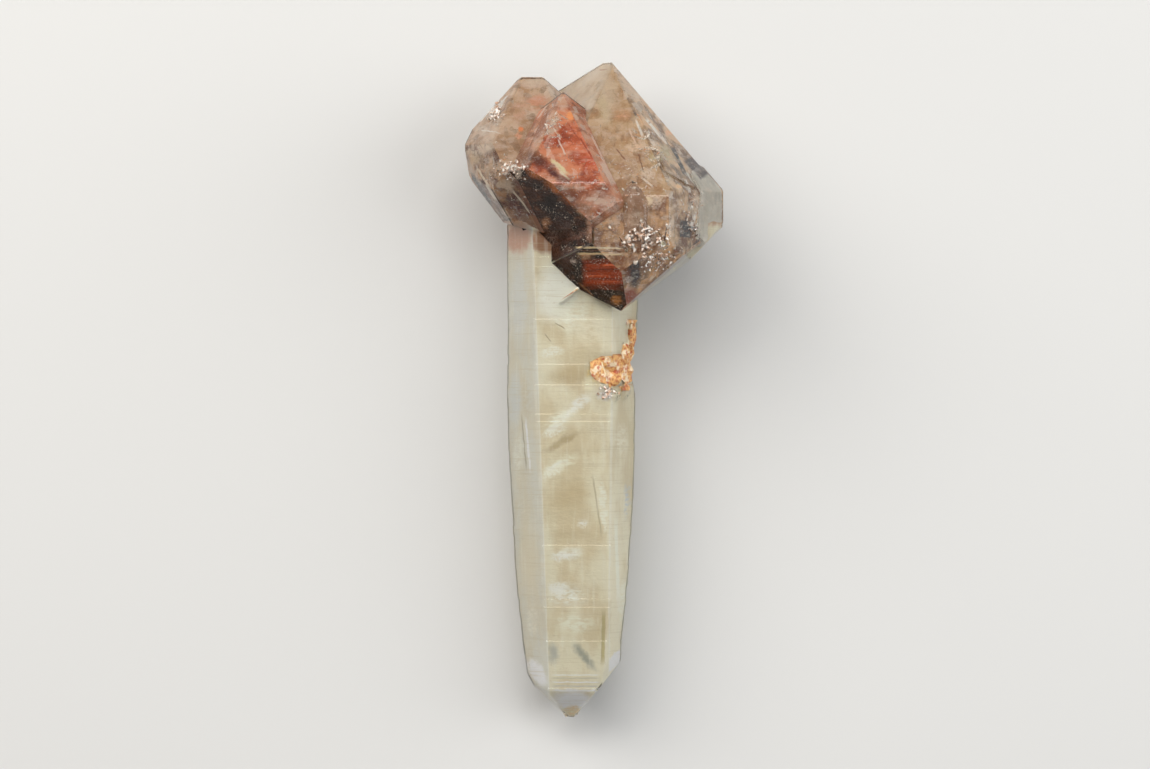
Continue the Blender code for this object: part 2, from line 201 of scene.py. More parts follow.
# Floor and light: sizes in metres, power in watts
FLOOR_SIZE = 4.0
FLOOR_GAP = 0.0002
FLOOR_TONES = ((200, 199, 196), (206, 205, 202))
WORLD_COLOUR = (0.96, 0.97, 1.0, 1.0)
WORLD_STRENGTH = 0.22
LIGHT_AIM = Vector((0, 0, 0.01))
LIGHTS = [
    ("key", Vector((-0.42, 0.30, 0.42)), (0.5, 0.5), 3.9, (1.0, 0.97, 0.93)),
    ("right", Vector((0.48, 0.05, 0.34)), (0.35, 0.6), 2.4, (0.96, 0.98, 1.0)),
    ("top", Vector((0.02, 0.36, 0.62)), (0.5, 0.35), 2.3, (1, 1, 1)),
]


def at(x, y, z):
    return Vector((x, y, z))


# Flat on the head's rear that the crystal rests on: azimuth, slope, and a point on it
REST_FACE = (180, -math.degrees(REST_PITCH), at(0, HEAD_ABOVE, -9.6))

# Each crystal of the head: a point inside it, and its faces as (azimuth, slope, a point on the face, tone of
# the clouded quartz under it)

# Head, main crystal on the right, ended at both ends
MAIN_TOP = at(5.2, 90.0, 1.5)
MAIN_FRONT = 16.3
MAIN_CORNER_LEVEL = 2.5
MAIN_CRYSTAL = dict(inside=at(5.5, 72.0, 2.0), faces=[
    (0, RHOMB, MAIN_TOP, "beige"),
    (SIDE, RHOMB, at(5.4, 90.0, 1.5), "mottled"),
    (-SIDE, RHOMB, at(5.3, 89.6, 1.5), "pale"),
    (161, RHOMB, at(4.5, 90.9, -0.2), "back"),
    (2 * SIDE, 33.9, at(5.9, 89.8, 1.4), "back"),
    (-2 * SIDE, RHOMB, at(-3.0, 86.0, -8.0), "back"),
    (-80, 75.0, at(4.3, 90.45, -0.3), "pale"),
    (0, 0, at(13.3, 71.2, MAIN_FRONT), "milky"),
    (SIDE, 0, at(13.3, 71.2, MAIN_FRONT), "window"),
    (2 * SIDE, 0, at(20.2, 72.3, MAIN_CORNER_LEVEL), "back"),
    (-SIDE, 0, at(-2.6, 64.0, 7.0), "beige"),
    (-2 * SIDE, 0, at(-2.6, 64.0, -7.0), "back"),
    (-50, -RHOMB, at(0.7, 59.2, 7.0), "root"),
    (32, -RHOMB, at(13.3, 65.2, MAIN_FRONT), "druse"),
    (85, -48.9, at(10.7, 59.3, 12.2), "druse"),
    (198, -57.7, at(3.85, 57.2, 8.2), "back"),
    (180, -RHOMB, at(3.8, 66.0, -8.6), "back"),
    (*REST_FACE, "back"),
])

# Head, the block at the right corner, a step wider than the main crystal below it
CORNER_CRYSTAL = dict(inside=at(19.2, 70.0, 3.0), faces=[
    (SIDE, RHOMB, at(17.0, 75.1, 5.7), "frosted"),
    (2 * SIDE, 33.9, at(18.75, 74.8, 3.0), "frosted"),
    (SIDE, 0, at(13.5, 71.2, MAIN_FRONT), "frosted"),
    (2 * SIDE, 0, at(20.2, 72.3, MAIN_CORNER_LEVEL), "frosted"),
    (-35, 12.0, at(17.3, 70.0, 9.4), "frosted"),
    (92, -42.0, at(20.6, 67.7, MAIN_CORNER_LEVEL), "frosted"),
    (5, -62.0, at(16.8, 63.6, 6.0), "frosted"),
    (180, 0, at(18.0, 70.0, -3.0), "back"),
    (-90, 0, at(16.2, 70.0, 0.0), "back"),
    (30, 70.0, at(18.5, 75.2, 4.0), "frosted"),
])

# Head, the growth plate on the main crystal's right end face
RIGHT_PLATE = dict(inside=at(11.5, 80.0, 4.0), faces=[
    (SIDE, RHOMB, at(5.75, 90.0, 1.5), "mottled"),
    (145, -5.7, at(13.0, 78.5, 6.4), "back"),
    (0, RHOMB, at(5.2, 89.6, 1.5), "mottled"),
    (70, 60.0, at(9.0, 85.4, 2.0), "mottled"),
    (180, 0, at(10.0, 80.0, -1.0), "back"),
    (0, -60.0, at(15.0, 72.4, 10.0), "mottled"),
    (-90, 0, at(7.0, 80.0, 2.0), "back"),
])

# Head, the wide rear part of the main crystal that wraps around the stem
REAR_CRYSTAL = dict(inside=at(3.0, 72.0, -2.0), faces=[
    (0, RHOMB, at(3.5, 84.5, 0.0), "back"),
    (SIDE, RHOMB, at(3.5, 85.0, 0.0), "back"),
    (2 * SIDE, RHOMB, at(3.5, 85.5, 0.0), "back"),
    (180, RHOMB, at(3.5, 84.5, -1.5), "back"),
    (-2 * SIDE, RHOMB, at(1.5, 85.5, 0.0), "back"),
    (-SIDE, RHOMB, at(1.5, 84.5, 0.0), "back"),
    (0, 0, at(0, 70, 5.5), "back"),
    (SIDE, 0, at(14.5, 70, 2.0), "back"),
    (2 * SIDE, 0, at(14.5, 70, -1.0), "back"),
    (-SIDE, 0, at(-10.8, 70, 0.0), "back"),
    (-2 * SIDE, 0, at(-10.8, 70, 0.0), "back"),
    (90, -RHOMB, at(11.4, 67.5, 0.0), "back"),
    (150, -RHOMB, at(9.0, 63.5, -5.0), "back"),
    (210, -RHOMB, at(-4.5, 65.0, -6.8), "back"),
    (-90, -RHOMB, at(-10.0, 68.8, 0.0), "back"),
    (-113, -77.7, at(-7.3, 67.6, 3.0), "back"),
    (0, -RHOMB, at(0, 64.0, 5.5), "back"),
    (*REST_FACE, "back"),
])

# Head, the red crystal that stands proud on the front
FRONT_TOP = at(-1.3, 85.4, 7.4)
FRONT_CRYSTAL = dict(inside=at(-1.0, 76.0, 8.0), faces=[
    (0, RHOMB, FRONT_TOP, "red"),
    (SIDE, RHOMB, at(-1.0, 85.4, 7.4), "red_side"),
    (-SIDE, RHOMB, FRONT_TOP, "left_side"),
    (180, RHOMB, at(-1.3, 85.7, 7.1), "back"),
    (0, 0, at(3.8, 72.8, 17.2), "haze"),
    (SIDE, 0, at(7.3, 72.4, 16.3), "red_side"),
    (-SIDE, 0, at(-9.5, 75.4, 10.3), "left_side"),
    (-2 * SIDE, 0, at(-9.5, 75.4, 9.0), "back"),
    (180, 0, at(0, 74.0, 0.0), "back"),
    (-52, -RHOMB, at(-8.2, 74.3, 11.9), "smoky"),
    (32, -RHOMB, at(6.9, 70.5, 17.2), "haze"),
    (180, -RHOMB, at(-1.6, 67.0, 0.0), "back"),
])

# Head, the left crystal with the chisel top
LEFT_TOP = at(-6.9, 88.0, 1.5)
LEFT_CRYSTAL = dict(inside=at(-7.0, 78.0, 2.0), faces=[
    (0, RHOMB, LEFT_TOP, "left_face"),
    (-SIDE, RHOMB, LEFT_TOP, "left_face"),
    (-2 * SIDE, RHOMB, at(-7.3, 87.8, 1.0), "back"),
    (180, RHOMB, at(-6.9, 88.0, 1.4), "back"),
    (SIDE, RHOMB, at(-3.9, 88.0, 1.5), "left_face"),
    (161, RHOMB, at(-3.9, 87.9, 1.4), "back"),
    (0, 0, at(-7.0, 75.4, 11.9), "left_low"),
    (-SIDE, 0, at(-14.5, 78.6, 3.0), "left_low"),
    (-2 * SIDE, 0, at(-14.5, 78.6, 2.4), "back"),
    (180, 0, at(-7.0, 75.4, -7.6), "back"),
    (SIDE, 0, at(4.0, 75.4, 5.0), "back"),
    (2 * SIDE, 0, at(4.0, 75.4, 2.0), "back"),
    (-75, -13.0, at(-14.5, 77.6, 3.0), "left_low"),
    (-75, -36.0, at(-13.3, 73.3, 3.0), "left_low"),
    (-110, -36.0, at(-13.3, 73.3, 2.0), "back"),
    (-27, -RHOMB, at(-5.5, 66.8, 7.0), "left_root"),
    (-113, -77.7, at(-7.3, 67.5, 3.0), "left_low"),
    (195, -RHOMB, at(-7.0, 67.5, -7.0), "back"),
])

# Head, the small dome on the front of the main crystal
DOME_TOP = at(8.3, 73.3, 15.6)
DOME_CRYSTAL = dict(inside=at(8.3, 70.5, 15.0), faces=[
    (0, RHOMB, DOME_TOP, "dome"),
    (SIDE, RHOMB, DOME_TOP, "dome"),
    (-SIDE, RHOMB, DOME_TOP, "dome"),
    (180, RHOMB, DOME_TOP, "dome"),
    (0, -6.0, at(8.3, 71.6, 17.2), "dome"),
    (SIDE, -3.0, at(10.4, 70.5, 16.3), "dome"),
    (-SIDE, -3.0, at(6.8, 70.5, 16.3), "dome"),
    (180, 0, at(8.3, 70.5, 8.0), "dome"),
    (0, -85.0, at(8.3, 64.2, 16.0), "dome"),
])

INNER_CRYSTALS = [
    ("main_cloud", MAIN_CRYSTAL),
    ("corner_cloud", CORNER_CRYSTAL),
    ("plate_cloud", RIGHT_PLATE),
    ("rear_cloud", REAR_CRYSTAL),
    ("red_cloud", FRONT_CRYSTAL),
    ("left_cloud", LEFT_CRYSTAL),
    ("dome_cloud", DOME_CRYSTAL),
]

# Spots: (middle px, middle py on the photo, half width, half height in mm, turn in degrees, softness, colour,
# strength, texture: 0 even, or one of the three below)
WISPY = 1
SPECKLED = 2
STRAIGHT = 3

# Painted shade: a dark line in the valley where the red crystal stands against the main one
JOIN_SHADE_SPOTS = [
    (592, 122, 0.24, 1.5, -28, 0.5, (60, 28, 17), 0.95, 0),
    (602, 146, 0.22, 2.6, -20, 0.5, (82, 32, 20), 0.95, 0),
    (613, 172, 0.2, 2.4, -28, 0.5, (124, 46, 28), 0.9, 0),
]

# Brown where the red crystal runs down into the smoky part
BROWN_SPOTS = [
    (530, 160, 2.2, 1.2, 10, 0.8, (110, 66, 38), 1, 0),
    (540, 165, 1.9, 1.2, 35, 0.8, (84, 44, 23), 1, 0),
    (554, 177, 2, 0.8, 40, 0.8, (70, 35, 18), 1, 0),
    (526, 152, 1.2, 1.6, 24, 0.8, (128, 80, 52), 0.9, 1),
]

# Spots of each tone of the head
BEIGE_SPOTS = [
    (606, 92, 2.6, 4.5, -14, 0.8, (200, 172, 140), 0.7, 0),
    (622, 118, 1.6, 1.2, 0, 0.7, (208, 140, 102), 0.85, 1),
    (604, 112, 1.2, 3.4, -16, 0.8, (192, 170, 130), 0.7, 0),
    (634, 150, 1.3, 0.9, 0, 0.6, (232, 188, 150), 0.95, 2),
    (628, 170, 2.4, 2.4, 0, 0.7, (158, 120, 94), 0.9, 2),
    (610, 150, 2, 3, -20, 0.7, (178, 142, 110), 0.7, 2),
    (648, 178, 1.2, 1, 0, 0.6, (236, 210, 188), 0.9, 2),
    (655, 160, 1.6, 2, -30, 0.7, (166, 148, 108), 0.85, 1),
    (639, 131, 0.22, 1.5, -19, 0.4, (242, 228, 210), 0.95, 3),
    (632, 140, 0.14, 1.4, -24, 0.4, (216, 176, 148), 0.9, 3),
    (620, 158, 0.12, 1.2, -40, 0.4, (112, 74, 52), 0.9, 3),
    (640, 166, 0.12, 1.5, -16, 0.4, (108, 76, 56), 0.9, 3),
    (646, 186, 0.16, 1.2, -50, 0.4, (240, 214, 190), 0.9, 3),
]
PALE_SPOTS = [
    (577, 95, 2.4, 1.6, 20, 0.8, (182, 144, 110), 0.7, 1),
    (592, 76, 2.2, 1, -30, 0.8, (218, 192, 166), 0.6, 0),
]
MOTTLED_SPOTS = [
    (630, 90, 2, 3.6, -38, 0.7, (204, 166, 132), 0.85, 0),
    (652, 131, 0.26, 1.95, -39, 0.3, (246, 234, 218), 1, 3),
    (660, 140, 0.18, 1.4, -36, 0.3, (240, 214, 192), 0.95, 3),
    (648, 141, 0.16, 1.6, -30, 0.3, (228, 196, 172), 0.95, 3),
    (657, 128, 0.12, 1.6, -39, 0.3, (110, 76, 54), 0.95, 3),
    (667, 134, 0.6, 0.5, 0, 0.6, (236, 158, 110), 0.95, 0),
    (656, 112, 0.7, 2.2, -38, 0.6, (208, 148, 112), 0.8, 1),
    (663, 158, 1.7, 2, -20, 0.7, (162, 146, 104), 0.9, 1),
    # Painted darkness: the two dark spots below stand for dark surroundings seen through clear quartz, not
    # dark quartz
    (677, 164, 0.32, 2.4, -24, 0.25, (36, 24, 17), 1, 3),
    (696, 168, 1.3, 1.9, -38, 0.3, (46, 33, 24), 1, 3),
    (680, 180, 0.9, 1.4, -20, 0.6, (112, 92, 70), 0.85, 2),
    (690, 183, 0.25, 1.6, -40, 0.3, (200, 192, 176), 0.95, 3),
    (686, 192, 0.2, 1.5, -20, 0.3, (220, 212, 196), 0.95, 3),
    (676, 190.5, 0.55, 0.28, 8, 0.4, (248, 174, 112), 1, 0),
    (664, 182, 1.2, 1.6, -10, 0.6, (202, 178, 150), 0.85, 2),
    (670, 200, 1, 1.2, 0, 0.6, (150, 116, 88), 0.85, 2),
]
MILKY_SPOTS = [
    (655, 203, 1.4, 1.6, 0, 0.7, (208, 176, 148), 0.9, 2),
    (647, 203, 0.7, 0.9, 0, 0.6, (242, 196, 150), 1, 0),
    (640, 218, 2.4, 1.4, 0, 0.7, (148, 108, 82), 0.85, 2),
    (606, 214, 2.8, 1.3, 10, 0.7, (196, 156, 134), 0.85, 1),
    (602, 236, 3, 1.5, -6, 0.6, (88, 58, 44), 0.95, 1),
    (585, 228, 1.4, 1.6, 0, 0.7, (58, 40, 34), 0.95, 1),
    (640, 240, 2.4, 1.8, 0, 0.6, (118, 84, 62), 0.85, 2),
    (601, 250, 3.3, 0.14, 2, 0.3, (212, 188, 146), 0.95, 3),
    (601, 253, 3.3, 0.1, 2, 0.3, (80, 52, 34), 0.95, 3),
    (601, 256, 3.3, 0.14, 2, 0.3, (194, 166, 122), 0.95, 3),
    (671, 226, 0.16, 2.4, -4, 0.3, (230, 198, 176), 0.95, 3),
    (664, 236, 0.12, 1.6, 10, 0.3, (52, 34, 26), 0.95, 3),
    (626, 232, 0.14, 1.2, 40, 0.3, (222, 200, 180), 0.9, 3),
]
DOME_SPOTS = [
    (633, 196, 1.6, 2, 0, 0.7, (124, 88, 66), 0.8, 1),
    (647, 205, 0.7, 0.9, 0, 0.6, (236, 190, 146), 0.9, 2),
    (634, 222, 2.2, 1.4, 0, 0.6, (180, 146, 120), 0.7, 2),
]
WINDOW_SPOTS = [
    (692, 208, 1.4, 1.8, 0, 0.6, (206, 182, 156), 0.8, 2),
    (672, 212, 0.9, 1.6, 0, 0.6, (124, 92, 68), 0.85, 2),
    (702, 232, 0.7, 1.5, 0, 0.5, (190, 184, 170), 0.85, 2),
    # Painted darkness: dark surroundings seen through clear quartz, not dark quartz
    (683, 231, 0.9, 1.2, 4, 0.15, (34, 23, 17), 1, 3),
    (691, 221, 0.26, 1.2, 24, 0.3, (240, 232, 220), 1, 3),
    (697, 219, 0.8, 0.4, 20, 0.4, (230, 186, 150), 0.95, 3),
    # Painted darkness: dark surroundings seen through clear quartz, not dark quartz
    (697, 247, 0.9, 0.8, 45, 0.3, (46, 33, 25), 1, 3),
    (676, 250, 1, 1.4, 0, 0.5, (86, 60, 44), 0.85, 2),
]
DRUSE_SPOTS = [
    (657, 258, 1.4, 1.3, 0, 0.6, (220, 146, 104), 0.95, 2),
    (646, 246, 2.2, 1.2, 0, 0.6, (176, 142, 116), 0.8, 2),
    (640, 266, 1.6, 1.8, 0, 0.6, (78, 48, 34), 0.9, 2),
    (662, 270, 1.8, 1.2, -40, 0.6, (136, 94, 66), 0.8, 2),
    (633, 271, 1.1, 3.6, 0, 0.6, (34, 14, 6), 1, 0),
    # Painted shade: a dark band along the lower right edge, where the face is seen edge on
    (655, 284, 5.2, 0.6, -40, 0.5, (42, 28, 21), 0.95, 0),
    (628, 297, 1.7, 1.7, 0, 0.6, (112, 46, 14), 0.95, 0),
]
RED_SPOTS = [
    (563, 106, 1.6, 1.4, 0, 0.7, (190, 136, 108), 0.85, 0),
    (571, 119, 0.9, 0.8, 0, 0.6, (254, 134, 76), 1, 0),
    (580, 146, 3, 3.2, -20, 0.7, (216, 98, 62), 0.9, 1),
    (592, 168, 2, 2.4, -20, 0.7, (184, 66, 38), 0.95, 1),
    (552, 128, 1.3, 2.3, 24, 0.5, (190, 160, 132), 0.95, 1),
    (553, 120, 0.12, 1, 40, 0.3, (242, 228, 214), 0.95, 3),
    (548, 131, 0.12, 1.4, 20, 0.3, (236, 216, 198), 0.95, 3),
    (557, 137, 0.1, 1.2, -30, 0.3, (232, 206, 184), 0.95, 3),
    (562, 151, 0.12, 1.3, -24, 0.3, (226, 196, 172), 0.9, 3),
    (574, 136, 0.1, 1.6, -34, 0.3, (150, 60, 38), 0.9, 3),
    (586, 152, 0.12, 1.8, -30, 0.3, (140, 52, 32), 0.9, 3),
    (560, 172, 2, 0.42, 42, 0.5, (228, 208, 144), 1, 0),
    (565, 180, 1.1, 0.18, 42, 0.4, (238, 222, 172), 0.95, 3),
    (568, 186, 2.4, 0.9, 20, 0.7, (88, 40, 23), 0.95, 1),
    (570, 189, 0.5, 0.4, 0, 0.6, (238, 122, 70), 0.95, 0),
    (588, 180, 2.2, 1.1, -10, 0.7, (118, 46, 26), 0.95, 1),
    (576, 160, 1.6, 0.9, 30, 0.7, (150, 62, 38), 0.9, 1),
    (586, 133, 1, 1.8, -30, 0.7, (168, 80, 52), 0.85, 1),
]
RED_SIDE_SPOTS = [
    (606, 178, 0.45, 2.2, -26, 0.4, (216, 180, 158), 0.95, 3),
    (596, 152, 0.18, 2.6, -24, 0.4, (224, 186, 162), 0.9, 3),
    (620, 186, 0.8, 1.1, -30, 0.6, (234, 110, 74), 0.95, 0),
]
LEFT_SIDE_SPOTS = [
    (540, 118, 0.9, 2.2, 24, 0.6, (206, 120, 90), 0.9, 1),
    (530, 150, 1.2, 2.4, 20, 0.6, (202, 128, 98), 0.85, 1),
    (524, 164, 1.2, 0.9, 0, 0.6, (112, 70, 46), 0.9, 1),
    (546, 112, 0.12, 1.8, 36, 0.3, (226, 190, 164), 0.9, 3),
    (536, 142, 0.12, 2.2, 24, 0.3, (124, 68, 46), 0.85, 3),
]
HAZE_SPOTS = [
    (612, 208, 1.4, 1.6, 0, 0.7, (216, 178, 158), 0.85, 2),
    (598, 204, 3, 1.6, -10, 0.7, (204, 158, 134), 0.9, 1),
    (590, 190, 1.8, 0.7, -10, 0.7, (200, 94, 62), 0.9, 1),
    (604, 226, 2.6, 1.2, -20, 0.6, (124, 86, 70), 0.8, 2),
    (582, 224, 2.2, 1.4, 0, 0.6, (74, 50, 42), 0.95, 1),
    (571, 210, 1.8, 1.6, 20, 0.7, (54, 33, 25), 0.95, 1),
    (556, 198, 2.8, 1.8, 20, 0.7, (36, 17, 9), 1, 1),
    (545, 188, 1.8, 1.4, 0, 0.7, (48, 22, 10), 1, 0),
    (573, 197, 1.9, 1, 42, 0.8, (96, 52, 28), 0.9, 0),
    (585, 212, 1.9, 0.9, 42, 0.8, (122, 80, 58), 0.9, 0),
    (566, 181, 1.6, 0.4, 20, 0.6, (208, 168, 108), 0.9, 1),
]
LEFT_FACE_SPOTS = [
    (534, 84, 3, 1, 0, 0.8, (210, 180, 154), 0.7, 0),
    (538, 104, 2.2, 1.6, -10, 0.7, (208, 124, 94), 0.9, 1),
    (520, 112, 1.4, 2.4, 20, 0.7, (204, 144, 114), 0.8, 1),
    (520.5, 132, 0.5, 0.42, 0, 0.5, (246, 126, 78), 1, 0),
    (519, 138, 0.7, 0.6, 30, 0.5, (222, 140, 104), 0.9, 1),
    (498, 110, 0.5, 1.9, 42, 0.4, (240, 234, 226), 1, 2),
    (489, 114, 0.15, 1.8, 42, 0.3, (242, 236, 228), 0.95, 3),
    (503, 104, 0.12, 1.4, 42, 0.3, (230, 216, 202), 0.95, 3),
    (500, 118, 0.12, 1.6, 42, 0.3, (118, 88, 66), 0.9, 3),
    (484, 132, 1.6, 1, 10, 0.7, (206, 180, 154), 0.85, 1),
    (492, 134, 1.4, 0.1, 12, 0.3, (228, 212, 196), 0.9, 3),
    (504, 146, 2.4, 1.2, 0, 0.7, (196, 164, 138), 0.8, 1),
]
LEFT_LOW_SPOTS = [
    (478, 150, 1.6, 1.6, 0, 0.7, (196, 170, 142), 0.85, 1),
    (484, 162, 1.4, 0.6, 20, 0.6, (92, 64, 45), 0.9, 2),
    (490, 174, 1.4, 1.2, 0, 0.6, (168, 134, 104), 0.8, 1),
    (495, 200, 1.2, 2.2, -34, 0.6, (98, 58, 38), 0.9, 1),
    (508, 149, 1.6, 0.7, 10, 0.6, (208, 192, 182), 0.95, 2),
    (517, 174, 2, 1.8, 0, 0.6, (194, 182, 170), 0.95, 2),
    (512, 170, 0.12, 1.3, 60, 0.3, (234, 224, 214), 0.95, 3),
    (520, 178, 0.12, 1.2, -40, 0.3, (228, 218, 208), 0.95, 3),
    (514, 183, 0.1, 1, 20, 0.3, (224, 212, 200), 0.95, 3),
    (484, 188, 0.4, 3.2, -32, 0.4, (40, 24, 15), 1, 0),
    (489, 184, 0.16, 2.8, -32, 0.3, (216, 190, 158), 0.95, 3),
    (487, 149, 1.8, 1.3, 0, 0.8, (206, 174, 146), 0.95, 0),
    (478, 160, 1.2, 1, 0, 0.8, (184, 150, 112), 0.9, 0),
]
LEFT_ROOT_SPOTS = [
    (506, 186, 1.8, 1.4, 30, 0.6, (190, 156, 124), 0.9, 1),
    (517, 212, 1.6, 1.2, 30, 0.6, (92, 46, 31), 0.95, 1),
    (530, 218, 2, 1.6, 30, 0.6, (116, 78, 55), 0.85, 1),
    (538, 232, 2, 0.9, 20, 0.6, (152, 110, 84), 0.85, 2),
    (524, 204, 0.14, 2.6, -38, 0.3, (216, 190, 158), 0.95, 3),
    (500, 206, 0.2, 3, -36, 0.3, (52, 30, 19), 0.95, 3),
]
FROSTED_SPOTS = [
    # Painted highlight: the bright rim along the right edge of the corner
    (722, 205, 0.35, 3.6, 0, 0.4, (240, 238, 230), 0.95, 0),
    # Painted darkness: the two dark spots below stand for dark surroundings seen through clear quartz, not
    # dark quartz
    (697, 168, 1.2, 1.9, -38, 0.3, (46, 33, 24), 1, 3),
    (688, 158, 0.5, 1.4, -38, 0.4, (62, 45, 32), 0.95, 3),
    (694, 188, 0.22, 1.6, -40, 0.3, (208, 202, 188), 0.95, 3),
    (704, 240, 1.4, 0.8, -30, 0.6, (204, 194, 176), 0.85, 1),
]

# Tones of the clouded quartz of the head: brightness, two base colours that noise mixes, how much pale wisps,
# painted sparkle highlights, dark cracks and shards show, and its spots
Tone = namedtuple("Tone", "gain first second wisps specks veins shards spots")
TONES = {
    "beige": Tone(0.92, (194, 156, 118), (158, 114, 78), 0.35, 0.4, 0.25, 0.35, BEIGE_SPOTS),
    "pale": Tone(0.92, (196, 166, 134), (170, 136, 102), 0.3, 0.25, 0.2, 0.2, PALE_SPOTS),
    "mottled": Tone(0.95, (206, 156, 112), (104, 74, 48), 0.4, 0.6, 0.7, 0.6, MOTTLED_SPOTS),
    "milky": Tone(1.12, (196, 142, 100), (100, 62, 39), 0.5, 0.9, 0.5, 0.5, MILKY_SPOTS),
    "dome": Tone(0.9, (134, 98, 74), (164, 124, 98), 0.3, 0.5, 0.4, 0.3, DOME_SPOTS),
    "window": Tone(1.0, (196, 152, 112), (92, 62, 40), 0.5, 0.8, 0.8, 0.7, WINDOW_SPOTS),
    "druse": Tone(1.3, (204, 138, 88), (86, 50, 30), 0.4, 1.0, 0.6, 0.6, DRUSE_SPOTS),
    "red": Tone(0.92, (212, 116, 80), (152, 60, 34), 0.35, 0.4, 0.5, 0.5,
                JOIN_SHADE_SPOTS + BROWN_SPOTS + RED_SPOTS),
    "red_side": Tone(0.92, (194, 124, 94), (164, 78, 48), 0.3, 0.4, 0.4, 0.5, RED_SIDE_SPOTS + JOIN_SHADE_SPOTS),
    "left_side": Tone(0.92, (196, 132, 98), (136, 74, 46), 0.35, 0.3, 0.4, 0.5,
                      LEFT_SIDE_SPOTS + BROWN_SPOTS),
    "haze": Tone(0.92, (196, 120, 88), (122, 58, 34), 0.6, 0.7, 0.4, 0.4, HAZE_SPOTS),
    "root": Tone(1.0, (110, 64, 38), (78, 44, 26), 0.2, 0.35, 0.4, 0.2, []),
    "smoky": Tone(1.0, (116, 72, 46), (84, 48, 30), 0.1, 0.15, 0.3, 0.2, []),
    "left_face": Tone(0.92, (196, 156, 124), (160, 118, 86), 0.35, 0.4, 0.25, 0.4, LEFT_FACE_SPOTS),
    "left_low": Tone(0.95, (176, 132, 98), (78, 48, 30), 0.45, 0.6, 0.6, 0.6, LEFT_LOW_SPOTS),
    "left_root": Tone(0.95, (156, 106, 70), (72, 41, 25), 0.35, 0.5, 0.5, 0.5, LEFT_ROOT_SPOTS),
    "frosted": Tone(0.95, (180, 173, 157), (162, 154, 138), 0.3, 0.3, 0.1, 0.15, FROSTED_SPOTS),
    "back": Tone(0.92, (176, 144, 114), (124, 90, 66), 0.4, 0.4, 0.5, 0.4, []),
}

# Spots on the undercut faces of the head, stained to the surface
STAINED_SPOTS = [
    (524, 164, 1.6, 1.2, 0, 0.8, (140, 92, 56), 1, 0),
    (534, 174, 2.6, 1.1, 40, 0.9, (156, 88, 46), 1, 0),
    (555, 190, 2.6, 1, 40, 0.9, (158, 90, 44), 1, 0),
    (516, 172, 0.8, 1, 0, 0.7, (186, 168, 150), 0.95, 2),
    (519, 178, 0.6, 0.9, 0, 0.6, (176, 158, 140), 0.9, 2),
    (550, 205, 1.8, 1.8, 40, 0.8, (18, 7, 3), 0.9, 0),
    (570, 201, 2.8, 1.1, 42, 0.9, (156, 84, 42), 1, 0),
    (583, 212, 2.6, 1.3, 42, 0.9, (184, 134, 100), 1, 0),
    (591, 230, 1.1, 2.4, 0, 0.9, (178, 132, 104), 1, 0),
    (546, 224, 1, 1, 0, 0.8, (146, 100, 66), 0.9, 1),
    (564, 224, 1.4, 1.4, 40, 0.7, (76, 60, 56), 0.9, 1),
    (552, 240, 1.2, 1.4, 0, 0.6, (100, 76, 66), 0.8, 2),
    (580, 236, 2.2, 1, -10, 0.6, (92, 64, 52), 0.9, 1),
    (600, 228, 2.2, 1, -10, 0.6, (146, 108, 90), 0.9, 1),
    (568, 256, 1.4, 1.4, -10, 0.6, (76, 54, 46), 0.9, 1),
    (585, 258, 1.4, 0.5, 0, 0.7, (164, 120, 86), 0.9, 1),
    # Painted highlight: a small glint
    (574, 262, 0.7, 0.5, 0, 0.6, (184, 164, 148), 0.95, 2),
    (598, 250, 3.4, 0.15, 2, 0.3, (210, 186, 142), 1, 3),
    (598, 253, 3.4, 0.1, 2, 0.3, (84, 56, 38), 1, 3),
    (598, 256, 3.2, 0.16, 2, 0.3, (188, 160, 118), 1, 3),
    (604, 274, 3.3, 2, 0, 0.35, (142, 54, 22), 1, 3),
    (612, 267, 1.6, 0.16, 0, 0.4, (204, 98, 56), 1, 3),
    (597, 277, 1.9, 0.14, 0, 0.4, (184, 80, 42), 0.95, 3),
    (610, 283, 1.6, 0.1, 0, 0.4, (176, 74, 38), 0.95, 3),
    (600, 264, 2.6, 0.12, 0, 0.6, (72, 26, 12), 0.8, 3),
    (606, 271, 2.8, 0.14, 0, 0.7, (80, 28, 12), 0.75, 3),
    (601, 280, 2.8, 0.14, 0, 0.7, (80, 28, 12), 0.75, 3),
    (605, 289, 3, 0.35, 2, 0.6, (104, 42, 20), 0.9, 3),
    (623, 268, 0.25, 0.8, 0, 0.3, (214, 186, 122), 1, 3),
    (632, 276, 0.7, 2.8, 0, 0.2, (26, 12, 7), 1, 3),
    (606, 297, 2.4, 0.7, 30, 0.6, (40, 22, 13), 0.9, 0),
    (616, 301, 1.1, 0.8, 0, 0.7, (160, 102, 52), 0.95, 0),
    (604, 305, 1.2, 0.14, 35, 0.4, (122, 84, 54), 0.9, 3),
    (586, 290, 1.6, 0.14, 42, 0.4, (124, 84, 54), 0.9, 3),
]

